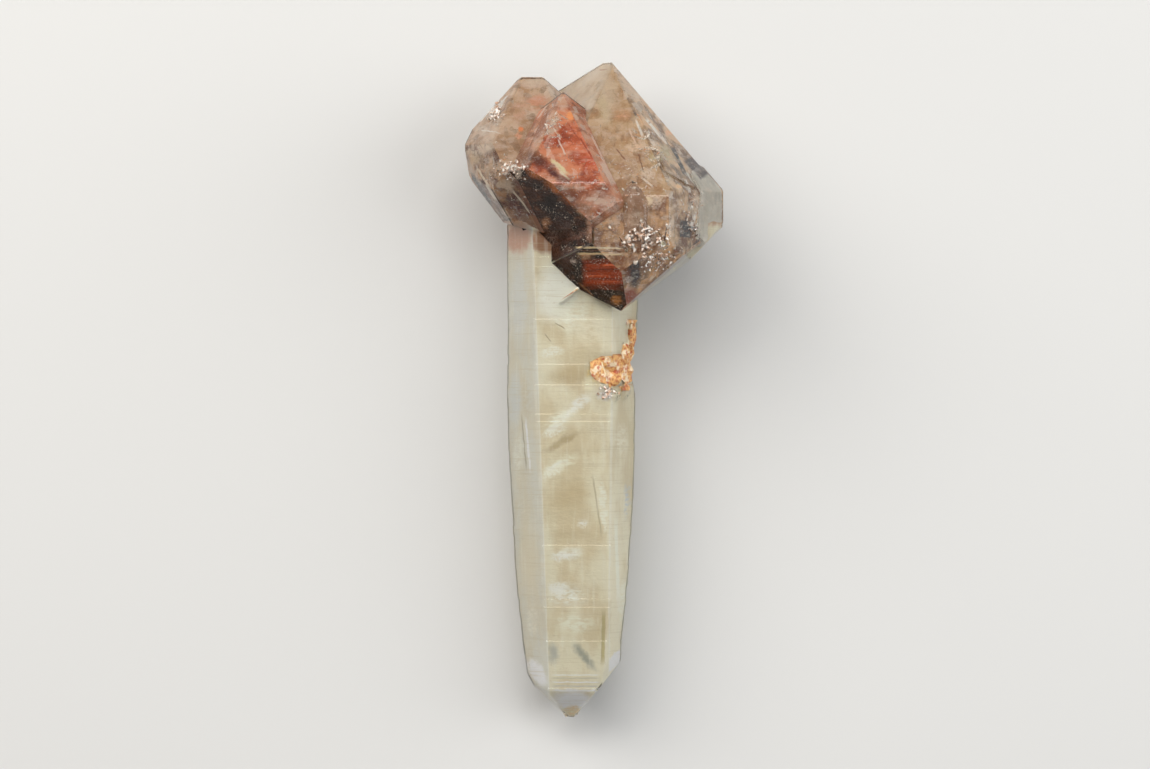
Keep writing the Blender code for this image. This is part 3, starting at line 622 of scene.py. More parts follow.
# Spots on the stem's front face, on its left one and on its right one
STEM_SPOTS = [
    (574, 376, 4.6, 2.4, 0, 0.8, (168, 148, 110), 0.95, 0),
    (562, 441, 3.6, 0.8, -28, 0.7, (152, 134, 98), 0.95, 0),
    (572, 494, 3.8, 2.6, -20, 0.8, (172, 152, 112), 0.85, 0),
    (574, 530, 4, 1.4, 0, 0.8, (176, 158, 120), 0.7, 0),
    (556, 292, 3.8, 5.4, 14, 0.6, (255, 246, 204), 1, 0),
    (570, 312, 3.8, 3.8, 20, 0.8, (255, 244, 196), 0.95, 1),
    (590, 330, 2.4, 2.6, 0, 0.8, (222, 210, 174), 0.8, 1),
    (552, 352, 2.2, 1, -10, 0.6, (240, 232, 202), 0.95, 2),
    (558, 420, 3.8, 1.4, -34, 0.8, (250, 240, 194), 1, 1),
    (570, 412, 3, 0.9, -38, 0.8, (252, 244, 204), 1, 2),
    (580, 402, 2.2, 1, -32, 0.7, (244, 238, 212), 0.95, 1),
    (553, 432, 2.6, 0.7, -24, 0.7, (252, 244, 202), 1, 2),
    (560, 464, 3.8, 1.3, -28, 0.8, (248, 238, 190), 1, 1),
    (552, 472, 2.4, 0.9, -26, 0.7, (252, 242, 198), 1, 2),
    (603, 505, 0.6, 4.6, -4, 0.5, (236, 230, 198), 0.95, 1),
    (597, 505, 0.14, 4.8, -8, 0.4, (158, 146, 112), 0.9, 3),
    (582, 523, 1, 0.8, 0, 0.7, (246, 240, 216), 0.9, 2),
    (568, 553, 3, 1.2, -8, 0.8, (252, 244, 202), 1, 1),
    (564, 556, 2.4, 0.7, -4, 0.7, (254, 247, 212), 1, 2),
    (576, 407, 2, 0.42, -36, 0.8, (255, 248, 208), 1, 0),
    (553, 427, 1.8, 0.5, -26, 0.8, (255, 248, 204), 1, 0),
    (556, 465, 2.2, 0.5, -26, 0.8, (255, 246, 202), 1, 0),
    (562, 553, 2, 0.4, -4, 0.8, (255, 248, 208), 1, 0),
    (559, 588, 1.8, 0.8, 0, 0.8, (255, 248, 208), 1, 0),
    (566, 594, 3.8, 2.2, 0, 0.8, (252, 244, 204), 1, 1),
    (558, 587, 2, 1.2, 0, 0.7, (254, 246, 210), 1, 2),
    (575, 622, 3.8, 1.8, 0, 0.8, (236, 229, 194), 0.9, 1),
    # Painted shadow: the two grey spots below form a V of shade on the stem's front
    (553, 652, 1.2, 2.1, -10, 0.9, (138, 140, 130), 0.8, 0),
    (584, 655, 0.9, 3.3, -40, 0.8, (122, 124, 110), 0.95, 0),
    (568, 640, 1.6, 1.2, 0, 0.8, (208, 200, 164), 0.6, 0),
    (603, 636, 0.32, 4.2, 1, 0.4, (150, 137, 95), 0.95, 3),
    (576, 674, 3.6, 0.1, 0, 0.3, (238, 234, 214), 0.9, 3),
    (576, 677, 3.6, 0.1, 0, 0.3, (172, 166, 140), 0.9, 3),
    (576, 681, 3.6, 0.12, 0, 0.3, (244, 242, 230), 0.9, 3),
    (576, 685, 3.6, 0.1, 0, 0.3, (168, 164, 148), 0.9, 3),
    (576, 689, 3.6, 0.14, 0, 0.3, (240, 238, 228), 0.9, 3),
    (573, 699, 3.8, 1.8, 0, 0.6, (255, 254, 244), 1, 0),
    (573, 710, 1.6, 1, 0, 0.5, (214, 174, 124), 0.95, 2),
    (597, 371, 1.6, 2.4, 10, 0.6, (232, 180, 92), 0.95, 2),
    (606, 394, 1.8, 1.2, 0, 0.6, (250, 244, 234), 0.95, 2),
    (588, 384, 1.2, 1.4, 0, 0.7, (236, 214, 168), 0.8, 1),
    (618, 340, 1, 4, 12, 0.6, (228, 180, 128), 0.9, 2),
    (560, 326, 0.08, 0.9, -60, 0.4, (120, 104, 76), 0.9, 3),
    (548, 338, 0.08, 0.8, -40, 0.4, (128, 112, 84), 0.9, 3),
    (548, 241, 3, 2.2, 0, 0.4, (130, 90, 66), 1, 0),
]
LEFT_STEM_SPOTS = [
    (520, 300, 1.6, 9, 0, 0.7, (188, 191, 184), 0.8, 0),
    (516, 400, 1.2, 6, 0, 0.7, (184, 190, 187), 0.7, 0),
    (530, 560, 2.4, 9, 0, 0.9, (200, 187, 154), 0.9, 0),
    (527, 400, 1, 5, 0, 0.8, (176, 164, 134), 0.7, 1),
    (529, 445, 0.16, 4.2, -5, 0.4, (250, 248, 230), 0.95, 3),
    (525, 442, 0.12, 4.2, -5, 0.4, (140, 132, 108), 0.9, 3),
    (519, 455, 1, 4, 0, 0.7, (214, 212, 190), 0.8, 1),
    # Painted highlight: the bright facet near the stem's lower end
    (538, 672, 1.2, 2.6, -28, 0.5, (250, 250, 246), 1, 0),
    (533, 620, 1, 3, 0, 0.7, (224, 216, 188), 0.7, 1),
    (519, 238, 2.4, 2.6, 0, 0.5, (166, 120, 98), 1, 0),
]
RIGHT_STEM_SPOTS = [
    (626, 500, 0.55, 3.4, 3, 0.8, (168, 176, 180), 0.85, 1),
    (616, 560, 0.3, 7, -2, 0.5, (236, 228, 198), 0.85, 3),
    (620, 440, 1.2, 3, 0, 0.7, (228, 218, 184), 0.85, 1),
    (622, 600, 0.8, 4, 2, 0.7, (238, 230, 198), 0.8, 1),
    # Painted highlight: the bright facet near the stem's lower end
    (614, 660, 1, 2.2, 40, 0.4, (252, 252, 246), 1, 0),
]

# Places of the stem's skin that are crusted: (middle, radii)
CRUST_PLACES = [
    (at(3.3, 47.6, 6.6), at(1.5, 2.6, 1.6)),
    (at(5.2, 47.9, 5.8), at(2.0, 2.6, 2.0)),
    (at(7.0, 48.0, 3.8), at(1.7, 3.6, 2.2)),
    (at(8.0, 52.8, 2.6), at(1.0, 2.2, 1.4)),
    (at(7.4, 47.6, -0.2), at(1.6, 4.4, 2.6)),
    (at(-0.3, 57.9, 8.1), at(1.8, 1.5, 0.8)),
]

# Patches of small bright crystals on the skin: (middle px, py on the photo, half width, half height in px,
# count, least and greatest radius in mm)
DRUSE_PATCHES = [
    (642, 240, 22, 14, 95, 0.12, 0.34),
    (656, 260, 18, 12, 70, 0.1, 0.26),
    (496, 112, 6, 11, 64, 0.1, 0.3),
    (511, 171, 14, 10, 50, 0.12, 0.3),
    (690, 214, 8, 22, 34, 0.1, 0.26),
    (640, 190, 26, 20, 60, 0.06, 0.15),
    (566, 150, 24, 34, 36, 0.05, 0.11),
    (606, 392, 9, 6, 26, 0.12, 0.3),
]

# Patches of bright flakes under the skin: (middle px, py on the photo, half width, half height in px, count,
# least and greatest half length in mm)
FLAKE_PATCHES = [
    (650, 140, 14, 40, 60, 0.2, 1.4),
    (630, 180, 30, 30, 60, 0.1, 0.6),
    (554, 130, 13, 20, 44, 0.15, 0.9),
    (575, 185, 26, 24, 40, 0.1, 0.5),
    (515, 174, 16, 16, 90, 0.15, 0.9),
    (494, 113, 7, 13, 50, 0.15, 0.8),
    (612, 225, 30, 24, 80, 0.1, 0.6),
    (690, 205, 12, 40, 50, 0.15, 0.8),
    (600, 165, 8, 34, 20, 0.2, 0.8),
    (485, 180, 14, 40, 30, 0.2, 0.8),
    (520, 205, 20, 22, 30, 0.15, 0.7),
]


def seen(px, py, z):
    """Crystal position of a point measured on the photo, at a depth."""
    return at((px - PHOTO_AXIS) * PHOTO_MM, (PHOTO_TIP - py) * PHOTO_MM, z)


def tint(red, green, blue):
    """Display colour of 0 to 255 as scene linear colour."""
    shares = [part / 255 for part in (red, green, blue)]
    linear = [share / 12.92 if share <= 0.04045 else ((share + 0.055) / 1.055) ** 2.4 for share in shares]
    return (*linear, 1.0)


def inner(red, green, blue, gain):
    """Colour that clouded quartz needs to show this one through the skin, which traps part of its light."""
    wanted = [max(DARKEST, part * gain - SKIN_SHEEN) for part in tint(red, green, blue)[:3]]
    return (*[min(LIGHTEST, part / (SKIN_PASS + (1 - SKIN_PASS) * part)) for part in wanted], 1.0)


class Graph:
    """Short way to add linked nodes to a node tree."""

    def __init__(self, tree):
        self.nodes = tree.nodes
        self.links = tree.links

    def add(self, kind, inputs=None, **settings):
        node = self.nodes.new(kind)
        for key, value in settings.items():
            setattr(node, key, value)
        for key, value in (inputs or {}).items():
            self.put(node.inputs[key], value)
        return node

    def put(self, socket, value):
        if isinstance(value, bpy.types.NodeSocket):
            self.links.new(value, socket)
        else:
            socket.default_value = value

    def math(self, operation, first, second=0.0):
        return self.add("ShaderNodeMath", {0: first, 1: second}, operation=operation).outputs[0]

    def times(self, first, second):
        return self.math("MULTIPLY", first, second)

    def plus(self, first, second, share):
        """One value with a share of a second one added."""
        return self.math("ADD", first, self.times(second, share))

    def vector(self, operation, first, second=(0, 0, 0)):
        return self.add("ShaderNodeVectorMath", {0: first, 1: second}, operation=operation).outputs[0]

    def parts(self, vector):
        return self.add("ShaderNodeSeparateXYZ", {0: vector}).outputs

    def ramp(self, value, low, high, to_low=0.0, to_high=1.0):
        return self.add("ShaderNodeMapRange", {"Value": value, "From Min": low, "From Max": high,
                                               "To Min": to_low, "To Max": to_high},
                        interpolation_type="SMOOTHSTEP").outputs[0]

    def mix(self, factor, first, second):
        return self.add("ShaderNodeMix", {0: factor, 6: first, 7: second}, data_type="RGBA").outputs[2]

    def noise(self, vector, scale, detail=4.0, roughness=0.55, output=0):
        return self.add("ShaderNodeTexNoise", {"Vector": vector, "Scale": scale, "Detail": detail,
                                               "Roughness": roughness}).outputs[output]

    def stretched(self, place, scale, turn=0.0):
        return self.add("ShaderNodeMapping", {"Vector": place, "Rotation": (0, 0, math.radians(turn)),
                                              "Scale": scale}).outputs[0]


class Surface(Graph):
    """Graph of a new material."""

    def __init__(self, name):
        self.material = bpy.data.materials.new(name)
        self.material.use_nodes = True
        super().__init__(self.material.node_tree)
        self.shader = self.nodes["Principled BSDF"]

    def crystal_place(self):
        """Position in the crystal's frame in millimetres, from the object's own coordinates."""
        place = self.add("ShaderNodeTexCoord").outputs["Object"]
        return self.add("ShaderNodeMapping", {"Vector": place, "Location": TO_CRYSTAL.to_translation(),
                                              "Rotation": tuple(TO_CRYSTAL.to_euler()),
                                              "Scale": (1 / MM,) * 3}).outputs[0]

    def done(self, colour, roughness, sockets=None):
        """Set the shader's sockets, each to a constant or a link, and give back the material."""
        for key, value in {"Base Color": colour, "Roughness": roughness, **(sockets or {})}.items():
            self.put(self.shader.inputs[key], value)
        return self.material

    def bump(self, height, strength, depth):
        """Bump of a depth in millimetres."""
        bump = self.add("ShaderNodeBump", {"Strength": strength, "Distance": depth * MM, "Height": height})
        self.put(self.shader.inputs["Normal"], bump.outputs[0])


def mask_group(name, straight):
    """Node group: 1 inside a turned ellipsoid, or a turned block if straight, falling to 0 at its edge."""
    group = bpy.data.node_groups.new(name, "ShaderNodeTree")
    for label, kind in (("Place", "Vector"), ("Centre", "Vector"), ("Radii", "Vector"), ("Turn", "Float"),
                        ("Softness", "Float")):
        group.interface.new_socket(label, in_out="INPUT", socket_type=f"NodeSocket{kind}")
    group.interface.new_socket("Share", in_out="OUTPUT", socket_type="NodeSocketFloat")
    graph = Graph(group)
    given = graph.add("NodeGroupInput").outputs
    offset = graph.vector("SUBTRACT", given["Place"], given["Centre"])
    turned = graph.add("ShaderNodeVectorRotate", {"Vector": offset, "Angle": given["Turn"]},
                       rotation_type="Z_AXIS")
    scaled = graph.vector("DIVIDE", turned.outputs[0], given["Radii"])
    if straight:
        parts = graph.parts(graph.vector("ABSOLUTE", scaled))
        distance = graph.math("MAXIMUM", parts["X"], parts["Y"])
    else:
        distance = graph.add("ShaderNodeVectorMath", {0: scaled}, operation="LENGTH").outputs["Value"]
    share = graph.ramp(distance, graph.math("SUBTRACT", 1.0, given["Softness"]), 1.0, 1.0, 0.0)
    graph.add("NodeGroupOutput", {"Share": share})
    return group


class Brush:
    """Textures of one material in the crystal's frame, and the painting of spots with them."""

    def __init__(self, graph, masks, wobble, grain=1.0):
        self.graph = graph
        self.masks = masks
        self.place = graph.crystal_place()
        self.ragged = self.pushed(wobble)
        self.crisp = self.pushed(CRISP_WOBBLE)
        streaks = graph.stretched(self.place, STREAK_STRETCH, STREAK_TURN)
        self.wispy = graph.noise(streaks, grain, 7.0, 0.62)
        self.speckle = graph.noise(self.place, 3.4, 5.0, 0.75)
        self.textures = {WISPY: graph.ramp(self.wispy, *TEXTURE_BAND, 0.25, 1.0),
                         SPECKLED: graph.ramp(self.speckle, *TEXTURE_BAND, 0.2, 1.0)}

    def pushed(self, amount):
        """Position pushed about by noise, which makes every outline uneven."""
        wobble = self.graph.noise(self.place, 0.9, output="Color")
        centred = self.graph.vector("SUBTRACT", wobble, NOISE_MIDDLE)
        push = self.graph.add("ShaderNodeVectorMath", {0: centred, "Scale": amount}, operation="SCALE")
        return self.graph.vector("ADD", self.place, push.outputs[0])

    def paint(self, colour, spots, as_colour):
        """Mix every spot of a table over a colour."""
        for px, py, wide, high, turn, soft, shade, strength, texture in spots:
            straight = texture == STRAIGHT
            mask = self.graph.add("ShaderNodeGroup", node_tree=self.masks[straight])
            given = {"Place": self.crisp if straight else self.ragged, "Centre": seen(px, py, 0.0),
                     "Radii": (wide, high, SPOT_REACH), "Turn": math.radians(turn), "Softness": soft}
            for key, value in given.items():
                self.graph.put(mask.inputs[key], value)
            share = self.graph.times(mask.outputs[0], strength)
            if texture in self.textures:
                share = self.graph.times(share, self.textures[texture])
            colour = self.graph.mix(share, colour, as_colour(*shade))
        return colour


def clouded(name, tone, masks):
    """Clouded quartz of one tone of the head."""
    graph = Surface(name)
    brush = Brush(graph, masks, wobble=1.0)
    wide = graph.noise(brush.place, 0.35, 5.0, 0.6)

    def shown(*shade):
        return inner(*shade, tone.gain)

    colour = graph.mix(graph.ramp(wide, *MIDDLE), shown(*tone.first), shown(*tone.second))
    long_cells = graph.stretched(brush.ragged, SHARD_STRETCH, SHARD_TURN)
    shards = graph.add("ShaderNodeTexVoronoi", {"Vector": long_cells, "Scale": 1.6})
    shard = graph.add("ShaderNodeSeparateColor", {"Color": shards.outputs["Color"]}).outputs
    gathered = graph.ramp(graph.noise(brush.place, 0.5, 3.0), *MIDDLE, 0.15, tone.shards)
    dark = graph.times(graph.ramp(shard[0], *DARK_SHARD_BAND), gathered)
    light = graph.times(graph.ramp(shard[1], *PALE_SHARD_BAND), gathered)
    colour = graph.mix(dark, colour, shown(*[part * DARK_SHARD for part in tone.second]))
    colour = graph.mix(light, colour, shown(*PALE_SHARD))
    colour = brush.paint(colour, tone.spots, shown)
    colour = graph.mix(graph.ramp(brush.wispy, *WISP_BAND, 0.0, tone.wisps), colour, shown(*WISP))
    cells = graph.add("ShaderNodeTexVoronoi", {"Vector": brush.ragged, "Scale": 0.42},
                      feature="DISTANCE_TO_EDGE")
    crack = graph.ramp(cells.outputs["Distance"], 0.0, CRACK_WIDTH, 1.0, 0.0)
    crack = graph.times(crack, graph.ramp(wide, *GATHER_BAND, 0.0, tone.veins))
    colour = graph.mix(crack, colour, shown(*CRACK))
    # Painted sparkle highlights: small bright dots where a fine noise peaks, gathered in patches
    spark = graph.ramp(graph.noise(brush.place, 6.0, 2.0, 0.5), *SPARK_BAND, 0.0, tone.specks)
    spark = graph.times(spark, graph.ramp(brush.speckle, *GATHER_BAND))
    colour = graph.mix(spark, colour, shown(*SPARK))
    graph.bump(graph.plus(graph.plus(brush.wispy, brush.speckle, 0.4), shard[2], 0.6), 0.6, 0.4)
    return graph.done(colour, graph.ramp(brush.speckle, *GLOSS_BAND, 0.25, 0.6), {"IOR": QUARTZ_IOR})


def edge_side(graph, parts, edge, outwards):
    """1 beyond one of the stem's long edges and 0 before it, and how far the place is from the edge."""
    lean = graph.times(graph.math("SUBTRACT", EDGE_TOP, parts["Y"]), edge[1])
    line = graph.math("SUBTRACT", graph.math("SUBTRACT", parts["X"], edge[0]), lean)
    return graph.ramp(graph.times(line, outwards), -EDGE_BLEND, EDGE_BLEND), line


def clouded_stem(masks):
    """Clouded quartz of the stem: cream, with pale veils on the front, bluish sides and painted edge
    highlights.
    """
    graph = Surface("clouded_stem")
    brush = Brush(graph, masks, wobble=1.3, grain=2.0)
    place = brush.place

    def shown(*shade):
        return inner(*shade, STEM_GAIN)

    clouds = graph.ramp(graph.noise(graph.stretched(place, WIDE_STRETCH), 0.3), *MIDDLE)

    def face(tones, spots):
        return brush.paint(graph.mix(clouds, shown(*tones[0]), shown(*tones[1])), spots, shown)

    colour = face(FRONT_TONES, STEM_SPOTS)
    left = face(LEFT_TONES, LEFT_STEM_SPOTS)
    right = face(RIGHT_TONES, RIGHT_STEM_SPOTS)
    parts = graph.parts(place)
    on_left, left_line = edge_side(graph, parts, LEFT_EDGE, -1.0)
    on_right, right_line = edge_side(graph, parts, RIGHT_EDGE, 1.0)
    colour = graph.mix(on_left, colour, left)
    colour = graph.mix(on_right, colour, right)
    # Painted highlight: a pale line along each of the stem's long edges
    for line in (left_line, right_line):
        near = graph.ramp(graph.math("ABSOLUTE", line), 0.0, EDGE_LIGHT_WIDTH, 0.45, 0.0)
        colour = graph.mix(near, colour, shown(*EDGE_LIGHT))
    streak = graph.noise(graph.stretched(place, (2.2, 0.12, 2.2)), 1.0, 4.0)
    colour = graph.mix(graph.ramp(streak, 0.52, 0.72, 0.0, 0.3), colour, shown(*STREAK))
    lines = graph.noise(graph.stretched(place, (0.12, 5.0, 0.12)), 1.0, 3.0)
    colour = graph.mix(graph.ramp(lines, 0.55, 0.7, 0.0, 0.35), colour, shown(*GROWTH_LINE))
    height = graph.parts(brush.ragged)["Y"]
    colour = graph.mix(graph.ramp(height, HEAD_ABOVE - 1.0, HEAD_ABOVE), colour, shown(*HEAD_BROWN))
    dots = graph.noise(place, 4.0, 3.0, 0.6)
    colour = graph.mix(graph.ramp(dots, 0.62, 0.72, 0.0, 0.4), colour, shown(*STEM_DOT))
    graph.bump(graph.plus(brush.wispy, brush.speckle, 0.3), 0.35, 0.3)
    return graph.done(colour, graph.ramp(brush.speckle, *GLOSS_BAND, 0.3, 0.6), {"IOR": QUARTZ_IOR})


def clear_skin():
    """Clear quartz of the outside, very finely rippled by growth."""
    graph = Surface("clear_quartz")
    place = graph.crystal_place()
    ripple = graph.noise(graph.stretched(place, (0.25, 5.0, 0.25)), 1.1, 3.0)
    pits = graph.noise(place, 1.6, 5.0)
    graph.bump(graph.plus(graph.times(ripple, 0.6), pits, 0.4), 0.3, 0.12)
    absorb = graph.add("ShaderNodeVolumeAbsorption", {"Color": ABSORBED_COLOUR, "Density": ABSORBED_DENSITY})
    graph.links.new(absorb.outputs[0], graph.nodes["Material Output"].inputs["Volume"])
    return graph.done(SKIN_COLOUR, graph.ramp(pits, 0.45, 0.7, 0.02, 0.12),
                      {"IOR": QUARTZ_IOR, "Transmission Weight": 1.0})


def stained_skin(masks):
    """Quartz stained to its surface by smoke and hematite, on the undercut faces of the head, with painted
    glints.
    """
    graph = Surface("stained_quartz")
    brush = Brush(graph, masks, wobble=1.3)
    wide = graph.noise(brush.place, 0.4, 5.0, 0.6)
    colour = graph.mix(graph.ramp(wide, *MIDDLE), tint(*STAIN_BROWN), tint(*STAIN_BLACK))
    colour = graph.mix(graph.ramp(brush.wispy, 0.52, 0.66, 0.0, 0.5), colour, tint(*STAIN_WISP))
    colour = brush.paint(colour, STAINED_SPOTS, tint)
    bars = graph.noise(graph.stretched(brush.place, (0.2, 3.2, 0.2)), 1.0, 4.0)
    colour = graph.mix(graph.ramp(bars, 0.5, 0.62, 0.0, 0.4), colour, tint(*STAIN_BAR))
    # Painted highlights: small bright glint dots, gathered where the wide noise is middling
    dots = graph.noise(brush.place, 5.0, 2.0, 0.5)
    glint = graph.times(graph.ramp(dots, 0.62, 0.67, 0.0, 0.9), graph.ramp(wide, 0.46, 0.56))
    colour = graph.mix(glint, colour, tint(*STAIN_GLINT))
    graph.bump(graph.plus(brush.wispy, bars, 0.5), 0.6, 0.3)
    return graph.done(colour, graph.ramp(brush.speckle, *GLOSS_BAND, 0.15, 0.4), {"Specular IOR Level": 0.1})


def iron_crust():
    """Yellow, orange and red crust of iron in the broken bay of the stem."""
    graph = Surface("iron_crust")
    place = graph.crystal_place()
    grain = graph.noise(place, 3.0, 6.0, 0.7)
    colour = graph.mix(graph.ramp(grain, 0.44, 0.64), tint(*CRUST_YELLOW), tint(*CRUST_ORANGE))
    colour = graph.mix(graph.ramp(graph.noise(place, 0.9, 3.0), 0.48, 0.6), colour, tint(*CRUST_CREAM))
    colour = graph.mix(graph.ramp(graph.noise(place, 1.3), 0.54, 0.62, 0.0, 0.8), colour, tint(*CRUST_RED))
    graph.bump(grain, 0.8, 0.3)
    return graph.done(colour, graph.ramp(grain, *GLOSS_BAND, 0.3, 0.75))


def druse_quartz():
    """Small bright crystals on the skin."""
    graph = Surface("druse_quartz")
    wide = graph.noise(graph.crystal_place(), 1.4, 3.0)
    colour = graph.mix(graph.ramp(wide, *MIDDLE), tint(*DRUSE_WHITE), tint(*DRUSE_TAN))
    return graph.done(colour, graph.ramp(wide, *GLOSS_BAND, 0.06, 0.2), {"IOR": QUARTZ_IOR})


def bright_flake():
    """Healed crack that mirrors the light inside the quartz, silvery with a few warm ones."""
    graph = Surface("bright_flake")
    place = graph.crystal_place()
    wide = graph.noise(place, 0.5, 3.0)
    fine = graph.noise(place, 5.0, 3.0)
    colour = graph.mix(graph.ramp(wide, 0.5, 0.6), tint(*FLAKE_SILVER), tint(*FLAKE_WARM))
    return graph.done(colour, graph.ramp(fine, *GLOSS_BAND, 0.15, 0.35),
                      {"Alpha": graph.ramp(fine, 0.42, 0.56, 0.2, 0.85)})


def linked(name, data):
    """New object in the scene."""
    made = bpy.data.objects.new(name, data)
    bpy.context.scene.collection.objects.link(made)
    return made


def give(obj, materials):
    obj.data.materials.clear()
    for material in materials:
        obj.data.materials.append(material)


def as_object(name, mesh, materials):
    """New object from a finished bmesh."""
    data = bpy.data.meshes.new(name)
    mesh.to_mesh(data)
    mesh.free()
    for material in materials:
        data.materials.append(material)
    return linked(name, data)


def remeshed(source, name, material):
    """Closed, evenly fine copy of an object's surface."""
    copy = linked(name, source.data.copy())
    modifier = copy.modifiers.new("remesh", "REMESH")
    modifier.mode = "VOXEL"
    modifier.voxel_size = BODY_VOXEL * MM
    bpy.context.view_layer.update()
    graph = bpy.context.evaluated_depsgraph_get()
    mesh = bpy.data.meshes.new_from_object(copy.evaluated_get(graph))
    copy.modifiers.clear()
    copy.data = mesh
    give(copy, [material])
    return copy


def skin_tree(source):
    skin = bmesh.new()
    skin.from_mesh(source.data)
    tree = BVHTree.FromBMesh(skin)
    skin.free()
    return tree


def body_depth(place):
    """How deep the clouded body lies under a place on the skin: wavy, and more in the head."""
    wave = noise.noise(place * LONG_WAVE + BODY_DRIFT) + 0.5 * noise.noise(place * SHORT_WAVE + BODY_DRIFT)
    in_head = place.y > HEAD_ABOVE or (place.y > HEAD_TIP_ABOVE and place.z > STEM_FRONT)
    return (HEAD_EXTRA_DEPTH if in_head else 1.0) * BODY_DEPTH * (1.0 + BODY_WAVINESS * wave) * MM


def inner_body(source, tree, name, material):
    """The surface moved inwards by a wavy depth, kept clear of the skin everywhere."""
    body = remeshed(source, name, material)
    mesh = bmesh.new()
    mesh.from_mesh(body.data)
    mesh.normal_update()
    moved = [vertex.co - vertex.normal * body_depth(TO_CRYSTAL @ vertex.co) for vertex in mesh.verts]
    for vertex, co in zip(mesh.verts, moved):
        vertex.co = co
    bmesh.ops.smooth_vert(mesh, verts=mesh.verts, factor=0.5, use_axis_x=True, use_axis_y=True,
                          use_axis_z=True)
    least = LEAST_DEPTH_SHARE * BODY_DEPTH * MM
    for vertex in mesh.verts:
        nearest, normal, _, _ = tree.find_nearest(vertex.co)
        if (nearest - vertex.co).dot(normal) < least:
            vertex.co = nearest - normal * least
    mesh.to_mesh(body.data)
    mesh.free()
    body.data.polygons.foreach_set("use_smooth", [True] * len(body.data.polygons))
    return body


def face_normal(azimuth, slope):
    """Outward normal of a face: azimuth from the viewer to the right, slope up (crown) or down (root)."""
    turn = math.radians(azimuth)
    rise = math.radians(slope)
    level = math.cos(rise)
    return Vector((math.sin(turn) * level, math.sin(rise), math.cos(turn) * level))


def inner_crystal(name, inside, faces, materials):
    """The clouded body of one crystal of the head, a little under each of its faces."""
    mesh = bmesh.new()
    bmesh.ops.create_cube(mesh, size=BLOCK_SIZE, matrix=Matrix.Translation(inside))
    tones = sorted(set(face[3] for face in faces))
    for azimuth, slope, point, tone in faces:
        normal = face_normal(azimuth, slope)
        depth = THIN_SKIN_DEPTH if tone in THIN_SKIN_TONES else CLOUD_DEPTH
        everything = mesh.verts[:] + mesh.edges[:] + mesh.faces[:]
        cut = bmesh.ops.bisect_plane(mesh, geom=everything, dist=ON_PLANE, plane_co=point - normal * depth,
                                     plane_no=normal, clear_outer=True)
        rim = [item for item in cut["geom_cut"] if isinstance(item, bmesh.types.BMEdge)]
        if len(rim) > 2:
            for face in bmesh.ops.contextual_create(mesh, geom=rim)["faces"]:
                face.material_index = tones.index(tone)
    bmesh.ops.recalc_face_normals(mesh, faces=mesh.faces)
    bmesh.ops.transform(mesh, matrix=TO_WORLD, verts=mesh.verts)
    return as_object(name, mesh, [materials[tone] for tone in tones])


def scattered(tree, rng, patches, least_rise):
    """Random places in the patches: point on the skin, its normal, and a size in metres."""
    down = (TO_WORLD.to_3x3() @ Vector((0, 0, -1))).normalized()
    for px, py, half_px, half_py, count, low, high in patches:
        for _ in range(count):
            start = seen(px + rng.gauss(0, 0.5) * half_px, py + rng.gauss(0, 0.5) * half_py, SEARCH_HEIGHT)
            foot, normal, _, _ = tree.ray_cast(TO_WORLD @ start, down)
            if foot is not None and normal.z >= least_rise:
                yield foot, normal, rng.uniform(low, high) * MM


def leaning(normal, rng, lean):
    """Random turn of a thing whose axis stands on the skin, leaning by at most a share to each side."""
    tilt = Vector([rng.uniform(-lean, lean) for _ in range(3)])
    turn = (normal + tilt).normalized().to_track_quat("Z", "Y").to_matrix().to_4x4()
    return turn @ Matrix.Rotation(rng.uniform(0, math.tau), 4, "Z")


def grow_druse(tree, rng, material):
    """Small six sided crystals standing on the skin, in patches, as one piece."""
    mesh = bmesh.new()
    for foot, normal, size in scattered(tree, rng, DRUSE_PATCHES, DRUSE_LEAST_RISE):
        place = Matrix.Translation(foot) @ leaning(normal, rng, DRUSE_LEAN)
        bmesh.ops.create_cone(mesh, cap_ends=True, segments=6, radius1=size, radius2=size * DRUSE_TIP,
                              depth=size * DRUSE_HEIGHT, matrix=place)
    return as_object("druse", mesh, [material])


def add_flakes(tree, rng, material):
    """Thin bright flakes and healed cracks between the skin and the clouded quartz, as one piece."""
    mesh = bmesh.new()
    for foot, normal, size in scattered(tree, rng, FLAKE_PATCHES, FLAKE_LEAST_RISE):
        turn = leaning(normal, rng, min(FLAKE_LEAN, FLAKE_RISE * MM / size))
        stretch = Matrix.Diagonal((1.0, rng.uniform(*FLAKE_NARROW), 1.0, 1.0))
        place = Matrix.Translation(foot - normal * FLAKE_DEPTH * MM) @ turn @ stretch
        corners = []
        for index in range(FLAKE_CORNERS):
            angle = math.tau * index / FLAKE_CORNERS
            reach = size * rng.uniform(*FLAKE_REACH)
            corner = Vector((math.cos(angle) * reach, math.sin(angle) * reach, 0))
            corners.append(mesh.verts.new(place @ corner))
        mesh.faces.new(corners)
    return as_object("flakes", mesh, [material])


def mark_skin(node):
    """Give the stained undercut faces of the head and the crusted faces of the stem their own materials."""
    turn = TO_WORLD.to_3x3().normalized()
    stained = [((turn @ face_normal(azimuth, slope)).normalized(), low, high)
               for azimuth, slope, low, high in STAINED_FACES]
    for face in node.data.polygons:
        place = TO_CRYSTAL @ face.center
        for normal, low, high in stained:
            inside = low[0] < place.x < high[0] and low[1] < place.y < high[1]
            if inside and face.normal.dot(normal) > FACE_MATCH:
                face.material_index = STAINED_INDEX
        for middle, radii in CRUST_PLACES:
            gap = place - middle
            if sum((gap[axis] / radii[axis]) ** 2 for axis in range(3)) < 1.0:
                face.material_index = CRUST_INDEX


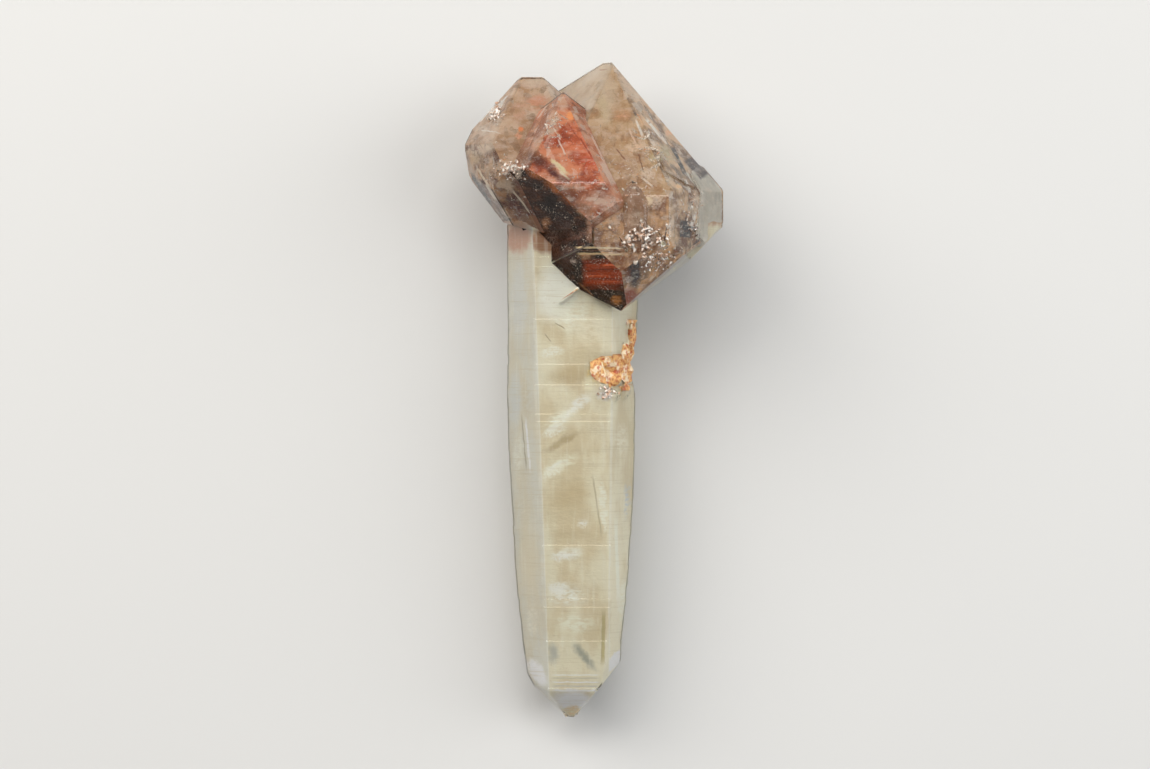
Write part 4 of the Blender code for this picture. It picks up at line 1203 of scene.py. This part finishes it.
def make_floor():
    bpy.ops.mesh.primitive_plane_add(size=FLOOR_SIZE, location=(0, 0, -FLOOR_GAP))
    floor = bpy.context.object
    floor.name = "floor"
    graph = Surface("pale_floor")
    place = graph.add("ShaderNodeTexCoord").outputs["Object"]
    colour = graph.mix(graph.noise(place, 3.0, 3.0), tint(*FLOOR_TONES[0]), tint(*FLOOR_TONES[1]))
    give(floor, [graph.done(colour, 0.85)])


def make_light():
    world = bpy.data.worlds.new("studio")
    world.use_nodes = True
    background = world.node_tree.nodes["Background"]
    background.inputs["Color"].default_value = WORLD_COLOUR
    background.inputs["Strength"].default_value = WORLD_STRENGTH
    bpy.context.scene.world = world
    for name, place, size, power, colour in LIGHTS:
        data = bpy.data.lights.new(name, "AREA")
        data.shape = "RECTANGLE"
        data.size, data.size_y = size
        data.energy = power
        data.color = colour
        light = linked(name, data)
        light.location = place
        light.rotation_euler = (LIGHT_AIM - place).to_track_quat("-Z", "Y").to_euler()


def make_camera():
    data = bpy.data.cameras.new("camera")
    data.lens = CAMERA_LENS
    data.sensor_width = CAMERA_SENSOR
    data.clip_start = CAMERA_CLIP
    camera = linked("camera", data)
    camera.location = TO_WORLD @ (CAMERA_AIM + Vector((0, 0, CAMERA_DISTANCE)))
    camera.rotation_euler = (REST_PITCH, 0, 0)
    bpy.context.scene.camera = camera


def main():
    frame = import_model()
    rng = random.Random(SEED)
    node = frame["nodes"]["scepter_quartz"]
    tree = skin_tree(node)
    masks = [mask_group("rounded_mask", straight=False), mask_group("straight_mask", straight=True)]
    give(node, [clear_skin(), iron_crust(), stained_skin(masks)])
    mark_skin(node)
    body = inner_body(node, tree, "clouded_body", clouded_stem(masks))
    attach(body, "root")
    materials = {name: clouded("clouded_" + name, tone, masks) for name, tone in TONES.items()}
    for name, shape in INNER_CRYSTALS:
        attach(inner_crystal(name, shape["inside"], shape["faces"], materials), "root")
    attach(grow_druse(tree, rng, druse_quartz()), "root")
    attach(add_flakes(tree, rng, bright_flake()), "root")
    make_floor()
    make_light()
    make_camera()
    bpy.context.scene.view_settings.view_transform = "Standard"


main()
